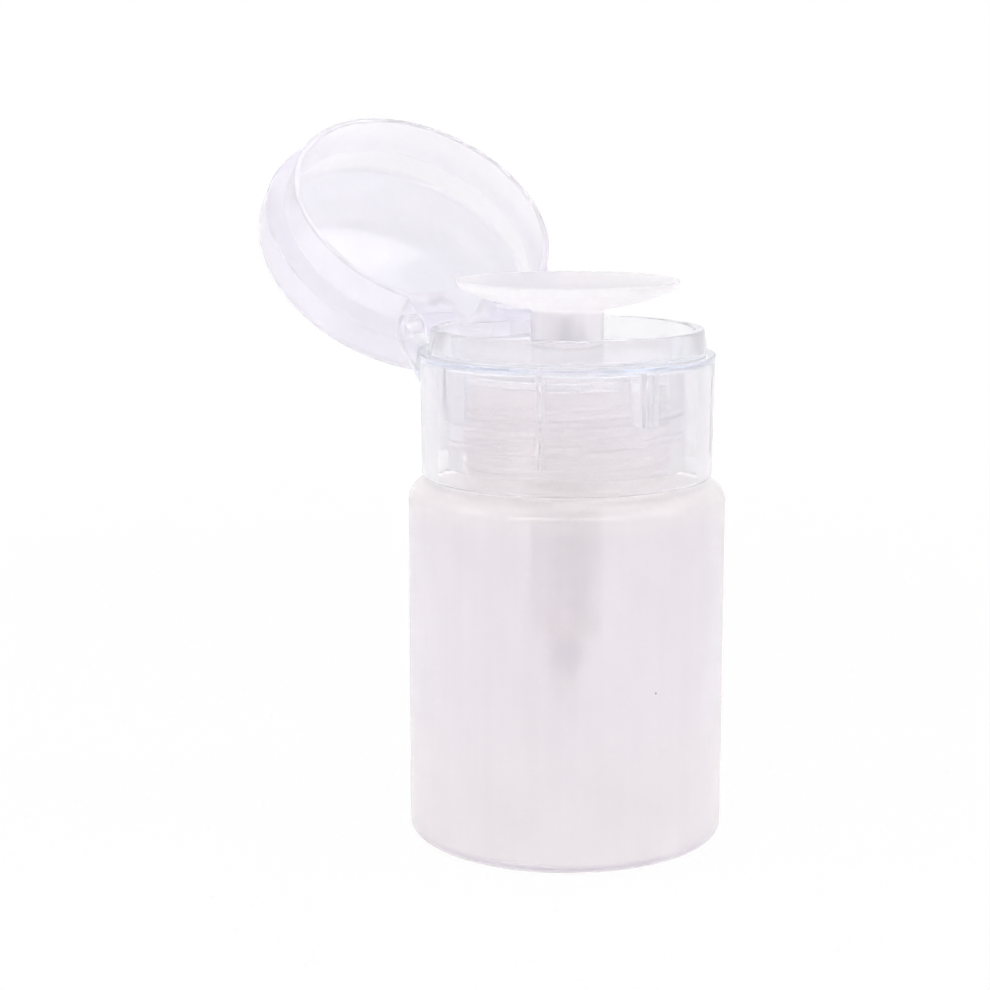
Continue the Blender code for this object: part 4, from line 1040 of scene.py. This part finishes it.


# Levels: start and end along the finish's way, and the colour and roughness that take over between them. The
# shoulder, foot and plate levels paint light and shade
# Paler neck, and painted light on the shoulder top that lifts the shade under the collar
NECK_TONE_AND_PAINTED_LIGHT_LEVEL = (0.0440, 0.0480, (0.998, 0.980, 0.958), 0.12)
# Painted shade: the foot turns darker and warmer towards the floor it stands on
FOOT_PAINTED_SHADE_LEVEL = (0.0200, 0.0, (0.966, 0.948, 0.948), 0.15)
# Painted blue-grey shade on the lid's plate, darker and bluer than the rest of the lid
PLATE_PAINTED_SHADE_LEVEL = (LID_PLATE - FULL_EDGE, LID_PLATE - EDGE, (0.934, 0.922, 0.965), 0.02)
FLANGE_LEVEL = (0.0560, 0.0600, (1.0, 0.998, 1.0), 0.12)

PLASTICS = {
    "frosted_body": dict(
        colour=(0.969, 0.957, 0.971), haze=0.40, roughness=(0.10, 0.16), bumps=(4e-6, 2e-6),
        tint=(0.62, 0.56, 0.74), density=28, coat=1.0, levels=(NECK_TONE_AND_PAINTED_LIGHT_LEVEL, FOOT_PAINTED_SHADE_LEVEL), specks=True),
    "clear_collar": dict(
        colour=(0.999, 0.994, 1.0), haze=0.24, roughness=(0.05, 0.09), bumps=(2e-6, 1e-6),
        tint=(0.60, 0.76, 1.0), density=20),
    "clear_lid": dict(
        colour=(0.986, 0.971, 0.990), haze=0.36, roughness=(0.02, 0.04), bumps=(1e-6, 3e-7),
        tint=(0.66, 0.70, 1.0), density=16, levels=(PLATE_PAINTED_SHADE_LEVEL,), way=LID_WAY),
    "clear_dish": dict(
        colour=(0.996, 0.988, 1.0), haze=0.50, roughness=(0.12, 0.18), bumps=(2e-6, 2e-6),
        tint=(0.72, 0.80, 1.0), density=4),
    "pump_plastic": dict(
        colour=(0.990, 0.972, 0.960), haze=0.32, roughness=(0.10, 0.15), bumps=(2e-6, 1e-6),
        tint=(0.85, 0.80, 0.78), density=8, levels=(FLANGE_LEVEL,)),
    "seal_plastic": dict(
        colour=(0.995, 0.990, 0.998), haze=0.60, roughness=(0.42, 0.55), bumps=(2e-6, 6e-6),
        tint=(0.90, 0.90, 1.0), density=10),
    "clear_tube": dict(
        colour=(0.996, 0.988, 0.998), haze=0.20, roughness=(0.12, 0.20), bumps=(2e-6, 2e-6),
        tint=(0.80, 0.84, 1.0), density=6),
}
finishes = {name: moulded(name, **values) for name, values in PLASTICS.items()}
finishes["steel"] = polished_steel("steel")

make_camera()
make_world()
make_floor()
for name, side in (("softbox_left", -1), ("softbox_right", 1)):
    make_softbox(name, CAMERA_AZIMUTH + side * LIGHT_AZIMUTH, LIGHT_ELEVATION, LIGHT_DISTANCE, LIGHT_SIZE,
                 LIGHT_POWER)
make_softbox("strip_light", CAMERA_AZIMUTH, STRIP_ELEVATION, LIGHT_DISTANCE, STRIP_SIZE, STRIP_POWER)
make_panel("lid_panel", PANEL_PLACE, PANEL_TURN, PANEL_SIZE, PANEL_POWER)
make_bottle()
make_collar()
make_lid()
make_dish()
make_outlet_cap()
make_housing()
make_pump()
make_ball("suction_ball")
make_ball("outlet_ball")
make_spring()
set_looks()
